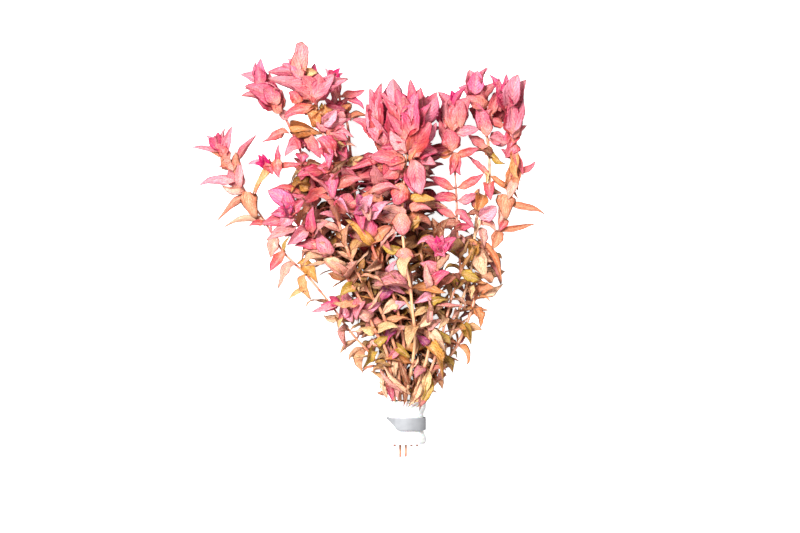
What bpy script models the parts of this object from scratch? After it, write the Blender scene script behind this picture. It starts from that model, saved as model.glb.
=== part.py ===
# Bunch of rotala, an aquarium stem plant, tied near its cut ends and lying on a surface.
# Thirteen leafy stems pass through a soft foam wrap that a lead strip squeezes.
# X runs across the bunch, Y from the cut ends to the crowns, Z up from the surface.

import math

import bmesh
import bpy
from mathutils import Matrix, Vector
from mathutils.bvhtree import BVHTree

MM = 0.001
UP = Vector((0, 0, 1))
GAP = 0.3 * MM

# Foam wrap: an oval sleeve, squeezed where the lead strip passes.
FOAM_CENTRE = (23 * MM, -103 * MM)
FOAM_LENGTH = 26 * MM
FOAM_HALF_WIDTH = 12.4 * MM
FOAM_HALF_HEIGHT = 9.4 * MM
FOAM_WAIST = 0.86
FOAM_SHOULDER = 0.35
FOAM_RIM = 0.93
FOAM_RIM_FROM = 0.88
FOAM_SIDES = 16
FOAM_TOP_Y = FOAM_CENTRE[1] + FOAM_LENGTH / 2
FOAM_END_Y = FOAM_CENTRE[1] - FOAM_LENGTH / 2

# Lead strip: one turn and a fifth round the foam's waist.
STRIP_WIDTH = 9 * MM
STRIP_THICKNESS = 0.7 * MM
STRIP_TURN_GAP = 0.35 * MM
STRIP_OVERLAP_DEG = 62
STRIP_START_DEG = 58
STRIP_CLIMB_FROM_DEG = 260
STRIP_CLIMB_OVER_DEG = 90
STRIP_STEPS = 24

# Stems sit in the foam on a grid of columns and rows.
BUNDLE_Z = 8.2 * MM
COLUMN_PITCH = 3.4 * MM
ROW_PITCH = 4.0 * MM
STEM_RADIUS = 1.15 * MM
SIDE_SHOOT_SHARE = 0.75
TIP_TAPER = 0.75
FLAT_ANGLE = math.radians(3)
ROUTE_STEP = 1.0 * MM
STEM_RUN = 28 * MM

# Leaf pairs are spaced from the crown down, wider apart with age.
FIRST_NODE = 9 * MM
NODE_SPACING_YOUNG = 12 * MM
NODE_SPACING_OLD = 24 * MM
NODE_CLEAR_OF_FOAM = 5 * MM
NODE_CLEAR_OF_FORK = 3 * MM
SPACING_IS_OLD_AT = 110 * MM

# A leaf's form, from the youngest below the crown to the oldest.
LEAF_IS_OLD_AT = 150 * MM
LEAF_LENGTH_YOUNG = 25 * MM
LEAF_LENGTH_OLD = 15.5 * MM
LEAF_WIDTH_YOUNG = 11 * MM
LEAF_WIDTH_OLD = 7 * MM
LEAF_THICKNESS = 0.8 * MM
LEAF_STEPS = 12
LEAF_RINGS = (0.36, 0.74)
SHORT_LEAF = 18.5 * MM
SHORT_LEAF_RINGS = (0.45,)
CROWDED_WIDTH = 0.8
LEAF_ROOT = 0.15 * MM
LEAF_FREE = 0.3
MOST_TWIST = math.radians(32)
SPREAD_YOUNG = 34
SPREAD_OLD = 92
LEAST_SPREAD = 8
MOST_SPREAD = 125
ARCH = 0.45
DRAWN_WIDENING = 1.25

# What differs from leaf to leaf: the usual value and how far a leaf may be from it. Curl, fold,
# turn and spread are in degrees; flop is the share of the way that a blade turns to lie level.
CURL = (30, 50)
FOLD = (9, 6)
FLOP = (0.6, 0.35)
DRAWN_FLOP = (0.82, 0.16)
DROOP = (0.35, 0.25)
TURN_ERROR = (0, 16)
SPREAD_ERROR = (0, 16)
LENGTH_SHARE = (1, 0.15)
WIDTH_SHARE = (1, 0.18)

BUD_LENGTH = 11 * MM
BUD_RADIUS = 1.25 * MM

# A leaf that would cut into a neighbour takes the first of these poses that is clear:
# change of spread and of place round the stem in degrees, and share of its length. A leaf
# with a tip of its own is raised by RAISE for each degree of spread instead.
POSES = (
    (0, 0, 1.0),
    (14, 0, 1.0),
    (-14, 0, 1.0),
    (0, 22, 0.95),
    (0, -22, 0.95),
    (26, 14, 0.9),
    (-26, -14, 0.9),
    (20, -40, 0.85),
    (-20, 40, 0.85),
    (38, 0, 0.8),
    (-30, 0, 0.75),
    (0, 58, 0.75),
    (0, -58, 0.75),
    (30, 30, 0.6),
    (-20, -30, 0.6),
    (0, 0, 0.5),
)
RAISE = 0.22 * MM

# Stems from left to right, in millimetres. A slot is (column, row) in the foam; a route runs
# from the foam to the foot of the crown; aim is the way the crown points. A crown leaf is its
# tip, its width and how far up the bud it starts. A drawn leaf is how far below the crown it
# starts, its tip and its width. The other leaves follow the rules above.
STEMS = {
    "01": {
        "slot": (-2, 0),
        "route": ((5, -66, 10), (-9, -50, 10), (-23, -31, 10), (-37, -14, 10), (-51, 0, 9),
                  (-62, 18, 9), (-71, 31, 9), (-76, 40, 10), (-81, 49, 12)),
        "aim": (-0.55, 0.8, 0.15),
        "spin": 12,
        "size": 0.95,
        "crown": (((-106, 64, 12), 6, 3), ((-91, 69, 20), 6, 7), ((-96, 66, 13), 6, 6),
                  ((-80, 65, 20), 9, 3), ((-99, 53, 17), 8, 1), ((-88, 61, 28), 9, 3),
                  ((-86, 66, 6), 8, 4)),
        "drawn": ((9, (-102, 40, 12), 8), (9, (-67, 70, 16), 6), (20, (-90, 18, 10), 8),
                  (20, (-62, 29, 22), 9), (36, (-86, 14, 12), 7), (36, (-52, 26, 12), 8),
                  (49, (-60, -5, 10), 6.5), (49, (-45, 11, 16), 7), (58, (-60, -10, 14), 6),
                  (68, (-54, -24, 8), 7), (68, (-30, -18, 14), 7), (80, (-34, -30, 10), 6),
                  (90, (-48, -31, 9), 6)),
    },
    "02": {
        "slot": (-2, 1),
        "route": ((12, -62, 18), (4, -46, 21), (-3, -31, 24), (-11, -17, 26), (-20, -5, 27),
                  (-31, 7, 28), (-39, 14, 29), (-46, 22, 33)),
        "aim": (-0.3, 0.4, 0.85),
        "spin": 40,
        "size": 0.9,
        "crown": (((-58, 28, 46), 7, 4), ((-63, 35, 40), 9, 2), ((-59, 16, 40), 8, 2),
                  ((-30, 28, 38), 9, 1), ((-44, 39, 44), 8, 3), ((-44, 30, 52), 5, 6),
                  ((-51, 25, 52), 5, 6), ((-40, 11, 42), 8, 2)),
        "drawn": (),
    },
    "03": {
        "slot": (-1, -1),
        "route": ((16, -66, 6), (10, -50, 7), (3, -35, 8), (-4, -22, 9), (-12, -10, 10),
                  (-20, -1, 10), (-27, 10, 10), (-32, 24, 10), (-35, 38, 10), (-38, 52, 11),
                  (-41, 62, 12), (-46, 73, 13), (-51, 84, 14)),
        "aim": (-0.4, 0.91, 0.1),
        "spin": 5,
        "size": 1.0,
        "crown": (((-75, 100, 10), 12, 2), ((-52, 102, 22), 10, 3), ((-77, 95, 20), 8, 4),
                  ((-68, 85, 25), 8, 0.5), ((-63, 116, 19), 6.5, 7), ((-67, 113, 13), 6, 6.5),
                  ((-75, 107, 17), 7, 6.5)),
        "drawn": (),
    },
    "04": {
        "slot": (-1, 1),
        "route": ((18, -65, 16), (14, -50, 19), (8, -35, 22), (1.5, -25, 24), (-4, -16, 26),
                  (-9, -6, 27), (-13, 5, 28), (-17, 18, 28), (-20, 31, 28), (-22, 44, 27),
                  (-24, 61, 26), (-27, 73, 25), (-30, 86, 24)),
        "aim": (-0.12, 0.96, 0.2),
        "spin": 8,
        "size": 1.05,
        "crown": (((-38, 125, 30), 8, 6), ((-56, 102, 32), 11, 3), ((-10, 103, 32), 11, 3),
                  ((-58, 109, 22), 9, 4), ((-48, 91, 36), 9, 1), ((-32, 102, 46), 10, 5),
                  ((-33, 113, 22), 8, 7), ((-18, 95, 40), 8, 1)),
        "drawn": ((12, (-11, 82, 30), 9), (12, (-42, 84, 34), 9)),
    },
    "05": {
        "slot": (0, -1),
        "route": ((18, -60, 6.5), (12, -44, 7.5), (6, -26, 9), (1, -10, 10), (-3, 7, 11),
                  (-6, 25, 12), (-9, 43, 12), (-10.5, 61, 12), (-12, 76, 12), (-15, 86, 12),
                  (-17, 93, 12)),
        "aim": (-0.25, 0.96, 0.1),
        "spin": 30,
        "size": 0.95,
        "crown": (((-20, 110, 20), 6, 7), ((-26, 112, 14), 6, 6), ((-4, 99, 16), 7, 2),
                  ((0, 88, 11), 6, 1), ((-30, 104, 9), 8, 2), ((-15, 107, 6), 8, 4),
                  ((-9, 106, 20), 7, 4)),
        "drawn": (),
    },
    "06": {
        "slot": (0, 0),
        "route": ((22.5, -65, 14), (20.5, -47, 17), (17, -31, 20), (13, -19, 22), (9, -10, 24),
                  (4, 0, 27), (0, 12, 30), (-3, 24, 33)),
        "aim": (-0.1, 0.4, 0.9),
        "spin": 20,
        "size": 0.85,
        "crown": (((-15, 33, 38), 9, 2), ((9, 34, 38), 9, 2), ((-3, 43, 40), 9, 3),
                  ((-3, 12, 40), 8, 2), ((-7, 31, 50), 6, 5), ((2, 27, 50), 6, 5)),
        "drawn": (),
    },
    "07": {
        "slot": (-1, 0),
        "route": ((19, -62, 10.5), (16, -44, 12), (12, -26, 13), (9, -8, 15), (8, 10, 17),
                  (7, 28, 18), (8, 46, 19), (8.5, 61, 19), (7, 72, 19)),
        "aim": (-0.05, 0.99, 0.1),
        "spin": 15,
        "size": 1.05,
        "crown": (((7, 103, 23), 8, 4), ((1, 100, 25), 9, 1), ((13, 94, 13), 9, 2),
                  ((-6, 85, 23), 9, 0.5), ((9, 93, 32), 9, 4), ((4, 97, 10), 8, 4),
                  ((12, 98, 22), 6, 7)),
        "drawn": ((10, (-2, 78, 28), 9), (10, (16, 80, 18), 9)),
    },
    "08": {
        "slot": (0, 1),
        "route": ((27, -66, 17), (28.5, -50, 21), (27, -35, 25), (25.5, -20, 27), (23, -8, 29),
                  (22, 1, 30), (20.7, 16, 30), (21, 31, 30), (22, 43, 30), (23, 56, 29),
                  (23.5, 66, 28)),
        "aim": (-0.02, 0.99, 0.12),
        "spin": -6,
        "size": 1.15,
        "crown": (((15, 99, 35), 9, 5), ((24, 103, 32), 9, 7), ((28, 98, 41), 7, 6.5),
                  ((42, 93, 34), 8, 4), ((10, 80, 34), 11, 1), ((37, 86, 38), 11, 2),
                  ((19, 91, 46), 10, 5), ((26, 92, 16), 10, 3)),
        "drawn": ((5, (10, 72, 38), 11), (5, (41, 77, 32), 10), (12, (33, 34, 38), 11),
                  (12, (0, 49, 32), 10), (24, (40, 52, 30), 9), (24, (5, 55, 28), 9),
                  (38, (18, 12, 38), 12)),
    },
    "09": {
        "slot": (1, -1),
        "route": ((29, -74, 6), (34, -56, 7.5), (36, -35, 9), (34, -14, 11), (31, 7, 12),
                  (28, 24, 13), (29, 43, 14), (31, 61, 14), (33, 74, 14)),
        "aim": (0.15, 0.97, 0.1),
        "spin": 35,
        "size": 1.0,
        "crown": (((31, 99, 12), 9, 3), ((41, 98, 14), 8, 4), ((22, 88, 8), 9, 1),
                  ((43, 86, 8), 9, 1), ((36, 96, 6), 8, 4), ((34, 93, 25), 8, 3)),
        "drawn": (),
    },
    "10": {
        "slot": (1, 1),
        "route": ((31.5, -77, 16), (36, -62, 20), (37, -52, 23), (38, -40, 26), (39, -30, 28),
                  (41, -20, 30), (42, -10, 32), (42.5, -2, 34)),
        "aim": (0.1, 0.45, 0.88),
        "spin": 10,
        "size": 0.72,
        "crown": (((33, 9, 41), 6, 2), ((53, 10, 41), 6, 2), ((43, 19, 41), 6, 3),
                  ((45, -9, 40), 6, 2), ((40, 7, 48), 4, 5), ((47, 6, 48), 4, 5)),
        "drawn": (),
    },
    "11": {
        "slot": (2, 1),
        "route": ((36, -76, 16), (42, -59, 18), (47, -41, 19), (50.7, -27, 19), (55, -15, 18),
                  (55.5, -6, 17), (54, 12, 17), (53.7, 28, 17), (53, 39, 17), (52.5, 49, 17),
                  (50.7, 62, 16), (50, 70, 16)),
        "aim": (0.02, 0.99, 0.15),
        "spin": -4,
        "size": 1.0,
        "crown": (((43, 96, 20), 10, 4), ((61, 91, 20), 10, 4), ((51, 99, 28), 6, 7),
                  ((57, 99, 20), 5, 6.5), ((38, 90, 13), 9, 2), ((57, 90, 7), 9, 2),
                  ((50, 88, 34), 9, 2)),
        "drawn": ((9, (41, 77, 20), 10), (9, (63, 76, 20), 10), (20, (38, 60, 24), 9),
                  (20, (66, 62, 24), 9), (31, (37, 46, 19), 8), (31, (70, 48, 17), 8)),
    },
    "12": {
        "slot": (1, 0),
        "route": ((34, -80, 9.5), (42, -68, 10), (49.5, -52, 10), (55, -36, 10), (59, -23, 10),
                  (63, -8, 10), (64.5, 7, 10), (66, 21, 10), (70, 31, 10), (73.5, 42, 11),
                  (73.5, 52, 12), (73, 64, 13), (70.5, 76, 14), (67, 88, 14)),
        "aim": (-0.1, 0.98, 0.15),
        "spin": 25,
        "size": 0.95,
        "crown": (((59, 109, 18), 9, 4), ((68, 110, 23), 9, 5), ((72, 112, 16), 5, 7),
                  ((80, 104, 20), 8, 1), ((62, 100, 30), 9, 2), ((54, 100, 10), 8, 2),
                  ((73, 102, 7), 8, 3)),
        "drawn": ((11, (58, 84, 24), 9), (11, (84, 88, 22), 9)),
    },
    "13": {
        "slot": (2, 0),
        "route": ((41, -79, 8.5), (47, -67, 8.5), (53, -58, 9), (59, -46, 9), (64, -31, 9),
                  (67, -20, 9), (71, -6, 10), (76, 4, 11), (80, 14, 12), (84, 28, 13),
                  (88, 38, 14), (88, 49, 14), (89, 61, 14), (89.5, 73, 14)),
        "aim": (-0.05, 0.99, 0.12),
        "spin": -10,
        "size": 1.05,
        "crown": (((86, 105, 20), 11, 5), ((96, 103, 15), 8, 5), ((82, 103, 13), 6, 7),
                  ((77, 91, 16), 9, 2), ((99, 88, 22), 9, 1), ((88, 92, 32), 11, 3),
                  ((90, 96, 4), 9, 3)),
        "drawn": ((10, (84, 88, 28), 12), (10, (98, 79, 18), 8), (24, (98, 54, 14), 7),
                  (24, (77, 57, 22), 8), (47, (107, 26, 14), 7.5), (47, (74, 36, 22), 8),
                  (62, (102, 18, 12), 7), (62, (67, 22, 20), 7), (80, (82, -20, 8), 7),
                  (80, (60, 6, 16), 7), (104, (80, -21, 10), 8), (104, (55, -14, 16), 6)),
    },
    "14": {
        "branch_of": "01",
        "route": ((-69, 31, 11), (-67, 37, 13.5), (-63, 44, 17), (-59, 49, 21)),
        "aim": (-0.1, 0.4, 0.9),
        "spin": 0,
        "size": 0.75,
        "crown": (((-74, 51, 32), 8, 2), ((-38, 54, 30), 8, 1.5), ((-52, 64, 34), 8, 3),
                  ((-61, 58, 39), 5, 5), ((-55, 53, 41), 5, 5), ((-60, 38, 30), 7, 2)),
        "drawn": ((6, (-70, 38, 24), 6), (6, (-52, 42, 20), 6)),
    },
    "15": {
        "branch_of": "03",
        "route": ((1, -31, 10.5), (-4, -31, 13), (-10, -31, 14), (-16, -31.5, 15)),
        "aim": (-0.9, -0.1, 0.3),
        "spin": 30,
        "size": 0.6,
        "crown": (((-33, -30, 19), 5, 1), ((-27, -24, 21), 5, 2), ((-26, -40, 20), 5, 2),
                  ((-34, -37, 16), 4, 2), ((-22, -28, 27), 4, 3), ((-30, -34, 25), 4, 4)),
        "drawn": (),
    },
}

# How far each stem's cut end stands out of the foam.
CUT_END = {"03": 8.5 * MM, "06": 8.0 * MM}
CUT_END_USUAL = 1.2 * MM

# Crowns and leaves claim their room in this order, the ones seen in front first.
FRONT_TO_BACK = ("08", "11", "04", "13", "12", "10", "02", "06", "01", "14", "07", "03",
                 "05", "09", "15")


def jitter(stem, place, channel):
    # A repeatable number from -1 to 1 for this stem, place on it and use.
    wave = math.sin(int(stem) * 12.9898 + place * 78.233 + channel * 37.719) * 43758.5453
    return 2 * (wave - math.floor(wave)) - 1


def varied(usual_and_reach, stem, place, channel):
    usual, reach = usual_and_reach
    return usual + reach * jitter(stem, place, channel)


def mix(young, old, age):
    return young + (old - young) * age


def eased(share):
    # From 0 to 1 with a soft start and end.
    share = min(max(share, 0.0), 1.0)
    return share * share * (3 - 2 * share)


def smooth_path(points):
    # A Catmull-Rom curve through the points, about one point for each ROUTE_STEP.
    ends = [2 * points[0] - points[1], *points, 2 * points[-1] - points[-2]]
    path = []
    for a, b, c, d in zip(ends, ends[1:], ends[2:], ends[3:]):
        steps = max(2, round((c - b).length / ROUTE_STEP))
        for i in range(steps):
            t = i / steps
            path.append(0.5 * (2 * b + (c - a) * t + (2 * a - 5 * b + 4 * c - d) * t**2
                               + (3 * b - a - 3 * c + d) * t**3))
    return [*path, points[-1]]


class Route:
    # A centre line of straight runs, measured in metres from its lower end.

    def __init__(self, path):
        self.path = path
        self.at = [0.0]
        for a, b in zip(path, path[1:]):
            self.at.append(self.at[-1] + (b - a).length)
        self.length = self.at[-1]

    def point(self, distance):
        distance = min(max(distance, 0.0), self.length)
        i = max(k for k, d in enumerate(self.at) if d <= distance + 1e-12)
        i = min(i, len(self.path) - 2)
        share = (distance - self.at[i]) / (self.at[i + 1] - self.at[i])
        return self.path[i].lerp(self.path[i + 1], share)

    def direction(self, distance):
        ahead = self.point(distance + 4 * MM)
        return (ahead - self.point(distance - 4 * MM)).normalized()


def stem_route(name):
    # Straight through the foam, then in runs of about STEM_RUN along a smooth curve.
    stem = STEMS[name]
    drawn = [Vector(p) * MM for p in stem["route"]]
    foot = []
    if "slot" in stem:
        column, row = stem["slot"]
        x = FOAM_CENTRE[0] + column * COLUMN_PITCH
        z = BUNDLE_Z + row * ROW_PITCH
        cut = FOAM_END_Y - CUT_END.get(name, CUT_END_USUAL)
        foot = [Vector((x, cut, z))]
        drawn.insert(0, Vector((x, FOAM_TOP_Y + 1 * MM, z)))
    curve = Route(smooth_path(drawn))
    runs = max(2, round(curve.length / STEM_RUN))
    return Route(foot + [curve.point(curve.length * i / runs) for i in range(runs + 1)])


def node_distances(name, route):
    # Where the leaf pairs sit, from the crown down to just above the foam or the fork.
    lowest = NODE_CLEAR_OF_FORK
    if "slot" in STEMS[name]:
        lowest = FOAM_LENGTH + CUT_END.get(name, CUT_END_USUAL) + NODE_CLEAR_OF_FOAM
    found, down = [], FIRST_NODE
    while route.length - down > lowest:
        found.append(route.length - down)
        age = min(1.0, down / SPACING_IS_OLD_AT)
        down += mix(NODE_SPACING_YOUNG, NODE_SPACING_OLD, age)
    return found


def radial(direction, degrees):
    # The way out from a stem at this angle round it: 0 is level, 90 is up.
    level = direction.cross(UP).normalized()
    raised = level.cross(direction)
    turn = math.radians(degrees)
    return level * math.cos(turn) + raised * math.sin(turn)


def drooping_spine(leaf):
    # A midrib that leaves the stem at the leaf's spread, then curls and sinks with its weight.
    out = radial(leaf["stem"], leaf["round"])
    spread = math.radians(leaf["spread"])
    ahead = leaf["stem"] * math.cos(spread) + out * math.sin(spread)
    place, spine = leaf["base"].copy(), []
    for _ in range(LEAF_STEPS + 1):
        spine.append((place, ahead))
        side = leaf["stem"].cross(out)
        face = ahead.cross(side).normalized()
        ahead = ahead - face * math.radians(leaf["curl"]) / LEAF_STEPS
        ahead = (ahead - UP * leaf["droop"] / LEAF_STEPS).normalized()
        place = place + ahead * leaf["length"] / LEAF_STEPS
    return out, spine


def arching_spine(leaf):
    # A midrib that starts up the stem and arches over to the leaf's own tip.
    base, tip, stem = leaf["base"], leaf["tip"], leaf["stem"]
    bend = base + stem * ARCH * (tip - base).length
    out = (tip - base) - stem * stem.dot(tip - base)
    spine = []
    for i in range(LEAF_STEPS + 1):
        s = i / LEAF_STEPS
        place = base * (1 - s) ** 2 + bend * 2 * s * (1 - s) + tip * s**2
        ahead = (bend - base) * (1 - s) + (tip - bend) * s
        spine.append((place, ahead.normalized()))
    return out.normalized(), spine


def level_turn(leaf, side, ahead):
    # How far a blade turns about its midrib so that one of its faces looks up.
    across = (side - ahead * side.dot(ahead)).normalized()
    face = ahead.cross(across)
    sky = (UP - ahead * UP.dot(ahead)).normalized()
    toward = leaf["lean"] if abs(face.dot(sky)) < 0.5 else math.copysign(1, face.dot(sky))
    upward = sky * toward
    return math.atan2(ahead.dot(face.cross(upward)), face.dot(upward)) * leaf["flop"]


def midrib(leaf):
    # The leaf's centre line as (point, direction, side, normal) at LEAF_STEPS + 1 places. The
    # blade turns towards level near its root, and rests on the surface where it meets it.
    out, spine = arching_spine(leaf) if "tip" in leaf else drooping_spine(leaf)
    side = leaf["stem"].cross(out)
    turn = level_turn(leaf, side, spine[LEAF_STEPS // 2][1])
    places = []
    for i, (place, ahead) in enumerate(spine):
        twist = Matrix.Rotation(turn * eased(i / LEAF_STEPS / LEAF_RINGS[0]), 3, ahead)
        across = twist @ (side - ahead * side.dot(ahead)).normalized()
        face = ahead.cross(across)
        room = half_width(leaf, i / LEAF_STEPS) * abs(across.z)
        room += leaf["thickness"] / 2 * abs(face.z)
        resting = place.copy()
        resting.z = max(place.z, room)
        places.append((resting, ahead, across, face))
    return places


def half_width(leaf, s):
    s = min(max(s, 0.0), 1.0)
    return leaf["width"] / 2 * math.sin(math.pi * s**0.65) ** 0.8


def leaf_point(leaf, places, s, across, lift):
    # A point of the blade: s along it, across from -1 to 1, lift from -1 to 1 in its thickness.
    k = min(max(s, 0.0), 1.0) * LEAF_STEPS
    i = min(int(k), LEAF_STEPS - 1)
    a, b = places[i], places[i + 1]
    share = k - i
    centre = a[0].lerp(b[0], share)
    if s < 0:
        centre = centre + a[1] * s * leaf["length"]
    side, normal = a[2].lerp(b[2], share), a[3].lerp(b[3], share)
    fold = math.radians(leaf["fold"])
    reach = across * half_width(leaf, s)
    rise = abs(reach) * math.sin(fold) + lift * leaf["thickness"] / 2
    return centre + side * reach * math.cos(fold) + normal * rise


def leaf_rings(leaf, margin=0.0, root=None):
    # The corners of a blade: its root, rings of two margins and the keel, and its tip. A ring
    # that would sink into the surface is lifted onto it.
    grown = dict(leaf, width=leaf["width"] + 2 * margin, thickness=leaf["thickness"] + 2 * margin)
    places = midrib(leaf)
    root = LEAF_ROOT / leaf["length"] if root is None else root
    middle = LEAF_RINGS if leaf["length"] > SHORT_LEAF else SHORT_LEAF_RINGS
    rings = [[leaf_point(grown, places, root, 0, 0)]]
    for s in middle:
        corners = ((-1, 1), (0, -1), (1, 1))
        rings.append([leaf_point(grown, places, s, across, lift) for across, lift in corners])
    rings.append([leaf_point(grown, places, 1.0, 0, 0) + places[-1][1] * margin])
    for ring in rings:
        sunk = min(0, min(corner.z for corner in ring))
        for corner in ring:
            corner.z -= sunk
    return rings


def is_sound(rings):
    # Whether each ring has all before it on one side of it and all after it on the other.
    for before, ring, after in zip(rings, rings[1:], rings[2:]):
        across = (ring[1] - ring[0]).cross(ring[2] - ring[0])
        behind = [across.dot(corner - ring[0]) for corner in before]
        ahead = [across.dot(corner - ring[0]) for corner in after]
        if max(behind) * min(behind) <= 0 or max(ahead) * min(ahead) <= 0:
            return False
        if behind[0] * ahead[0] >= 0:
            return False
    spans = [ring[2] - ring[0] for ring in rings[1:-1]]
    return spans[0].angle(spans[-1]) < MOST_TWIST


def leaf_mesh(rings):
    # A blade with these corners, shaped from a three-sided ball. Each four-sided face is split
    # so that it bulges, which keeps a thin, twisted blade from cutting through itself.
    blade = bmesh.new()
    bmesh.ops.create_uvsphere(blade, u_segments=3, v_segments=len(rings) - 1, radius=1)
    levels = sorted({round(v.co.z, 3) for v in blade.verts})
    for level, ring in zip(levels, rings):
        at_level = [v for v in blade.verts if round(v.co.z, 3) == level]
        at_level.sort(key=lambda v: v.co.x)
        for vertex, corner in zip(at_level, ring):
            vertex.co = corner
    bmesh.ops.recalc_face_normals(blade, faces=blade.faces)
    for face in [f for f in blade.faces if len(f.verts) == 4]:
        a, b, c, d = face.verts
        outward = (a.co + c.co - b.co - d.co).dot(face.normal)
        bmesh.utils.face_split(face, *((a, c) if outward > 0 else (b, d)))
    return blade


def tree_of(solid):
    solid.verts.index_update()
    points = [v.co.copy() for v in solid.verts]
    faces = [[v.index for v in f.verts] for f in solid.faces]
    low = Vector([min(p[k] for p in points) for k in range(3)])
    high = Vector([max(p[k] for p in points) for k in range(3)])
    return low, high, BVHTree.FromPolygons(points, faces)


class Room:
    # The solids placed so far, each with its owner, so that a new leaf keeps clear of the others.

    def __init__(self):
        self.placed = []

    def add(self, owner, core, solid):
        self.placed.append((owner, core, *tree_of(solid)))

    def meets(self, wanted, solid):
        # Whether the solid cuts into any placed one that wanted(owner, core) picks.
        low, high, tree = tree_of(solid)
        for owner, core, other_low, other_high, other_tree in self.placed:
            if not wanted(owner, core):
                continue
            if any(low[k] > other_high[k] or high[k] < other_low[k] for k in range(3)):
                continue
            if tree.overlap(other_tree):
                return True
        return False


def posed(leaf, spread, turn, share):
    # The leaf moved to this pose.
    tried = dict(leaf)
    if "tip" in leaf:
        tried["tip"] = leaf["base"].lerp(leaf["tip"], share) + UP * spread * RAISE
    else:
        tried["spread"] = min(max(leaf["spread"] + spread, LEAST_SPREAD), MOST_SPREAD)
        tried["round"] = leaf["round"] + turn
    tried["length"] = leaf["length"] * share
    tried["width"] = leaf["width"] * (0.3 + 0.7 * share)
    return tried


def is_clear(room, owner, leaf, may_cross_own):
    # Whether a leaf keeps GAP to every other piece, and meets its own stem only at its root.
    wide = leaf_mesh(leaf_rings(leaf, GAP))
    free = leaf_mesh(leaf_rings(leaf, 0.0, LEAF_FREE))
    clear = not room.meets(lambda whose, core: whose != owner, wide)
    clear = clear and not room.meets(lambda whose, core: whose == owner and core, free)
    wide.free()
    free.free()
    if clear and not may_cross_own:
        blade = leaf_mesh(leaf_rings(leaf))
        clear = not room.meets(lambda whose, core: whose == owner and not core, blade)
        blade.free()
    return clear


def placed_leaf(room, owner, leaf):
    # The leaf in its first clear pose, or nothing. A crown's leaves are packed too tightly to
    # miss each other, so there the last resort is narrower leaves that may cross.
    for may_cross_own in (False, True) if owner.startswith("crown_") else (False,):
        width = leaf["width"] * (CROWDED_WIDTH if may_cross_own else 1)
        for pose in POSES:
            tried = posed(dict(leaf, width=width), *pose)
            rings = leaf_rings(tried)
            if is_sound(rings) and is_clear(room, owner, tried, may_cross_own):
                blade = leaf_mesh(rings)
                room.add(owner, False, blade)
                return blade
    return None


def drawn_leaf(name, place, base, stem, tip, width):
    # A leaf whose tip is given.
    tip = Vector(tip) * MM
    return {
        "base": base,
        "stem": stem,
        "tip": tip,
        "length": (tip - base).length * 1.05,
        "width": DRAWN_WIDENING * width * MM,
        "thickness": LEAF_THICKNESS,
        "fold": varied(FOLD, name, place, 6),
        "flop": varied(DRAWN_FLOP, name, place, 7),
        "lean": math.copysign(1, jitter(name, place, 8) + 0.2),
    }


def crown_leaves(name, route):
    # The leaves of a crown, which start up its bud.
    stem = STEMS[name]
    aim = Vector(stem["aim"]).normalized()
    foot = route.point(route.length) + aim * (2 * GAP)
    return [
        drawn_leaf(name, 100 + place, foot + aim * up * MM * stem["size"], aim, tip, width)
        for place, (tip, width, up) in enumerate(stem["crown"])
    ]


def stem_leaves(name, route):
    # A stem's drawn leaves, then leaf pairs down the rest of it, each pair a quarter turn
    # from the last.
    stem = STEMS[name]
    leaves = []
    for place, (down, tip, width) in enumerate(stem["drawn"]):
        distance = route.length - down * MM
        base, direction = route.point(distance), route.direction(distance)
        leaves.append(drawn_leaf(name, 200 + place, base, direction, tip, width))
    taken = [down * MM for down, _, _ in stem["drawn"]]
    for pair, distance in enumerate(node_distances(name, route)):
        if any(abs(route.length - distance - down) < NODE_SPACING_YOUNG / 2 for down in taken):
            continue
        age = min(1.0, (route.length - distance) / LEAF_IS_OLD_AT)
        spread = mix(SPREAD_YOUNG, SPREAD_OLD, age)
        length = mix(LEAF_LENGTH_YOUNG, LEAF_LENGTH_OLD, age) * stem["size"]
        width = mix(LEAF_WIDTH_YOUNG, LEAF_WIDTH_OLD, age) * stem["size"]
        for half in (0, 1):
            place = 2 * pair + half
            turn = stem["spin"] + 90 * (pair + 1) + 180 * half
            leaves.append({
                "base": route.point(distance),
                "stem": route.direction(distance),
                "round": turn + varied(TURN_ERROR, name, place, 1),
                "spread": spread + varied(SPREAD_ERROR, name, place, 2),
                "length": length * varied(LENGTH_SHARE, name, place, 3),
                "width": width * varied(WIDTH_SHARE, name, place, 4),
                "thickness": LEAF_THICKNESS,
                "curl": varied(CURL, name, place, 5),
                "fold": varied(FOLD, name, place, 6),
                "flop": varied(FLOP, name, place, 7),
                "lean": math.copysign(1, jitter(name, place, 8) + 0.2),
                "droop": varied(DROOP, name, place, 9),
            })
    return leaves


def link(obj, collection):
    collection.objects.link(obj)
    return obj


def object_from(name, solid, collection):
    mesh = bpy.data.meshes.new(name)
    solid.to_mesh(mesh)
    solid.free()
    return link(bpy.data.objects.new(name, mesh), collection)


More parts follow.
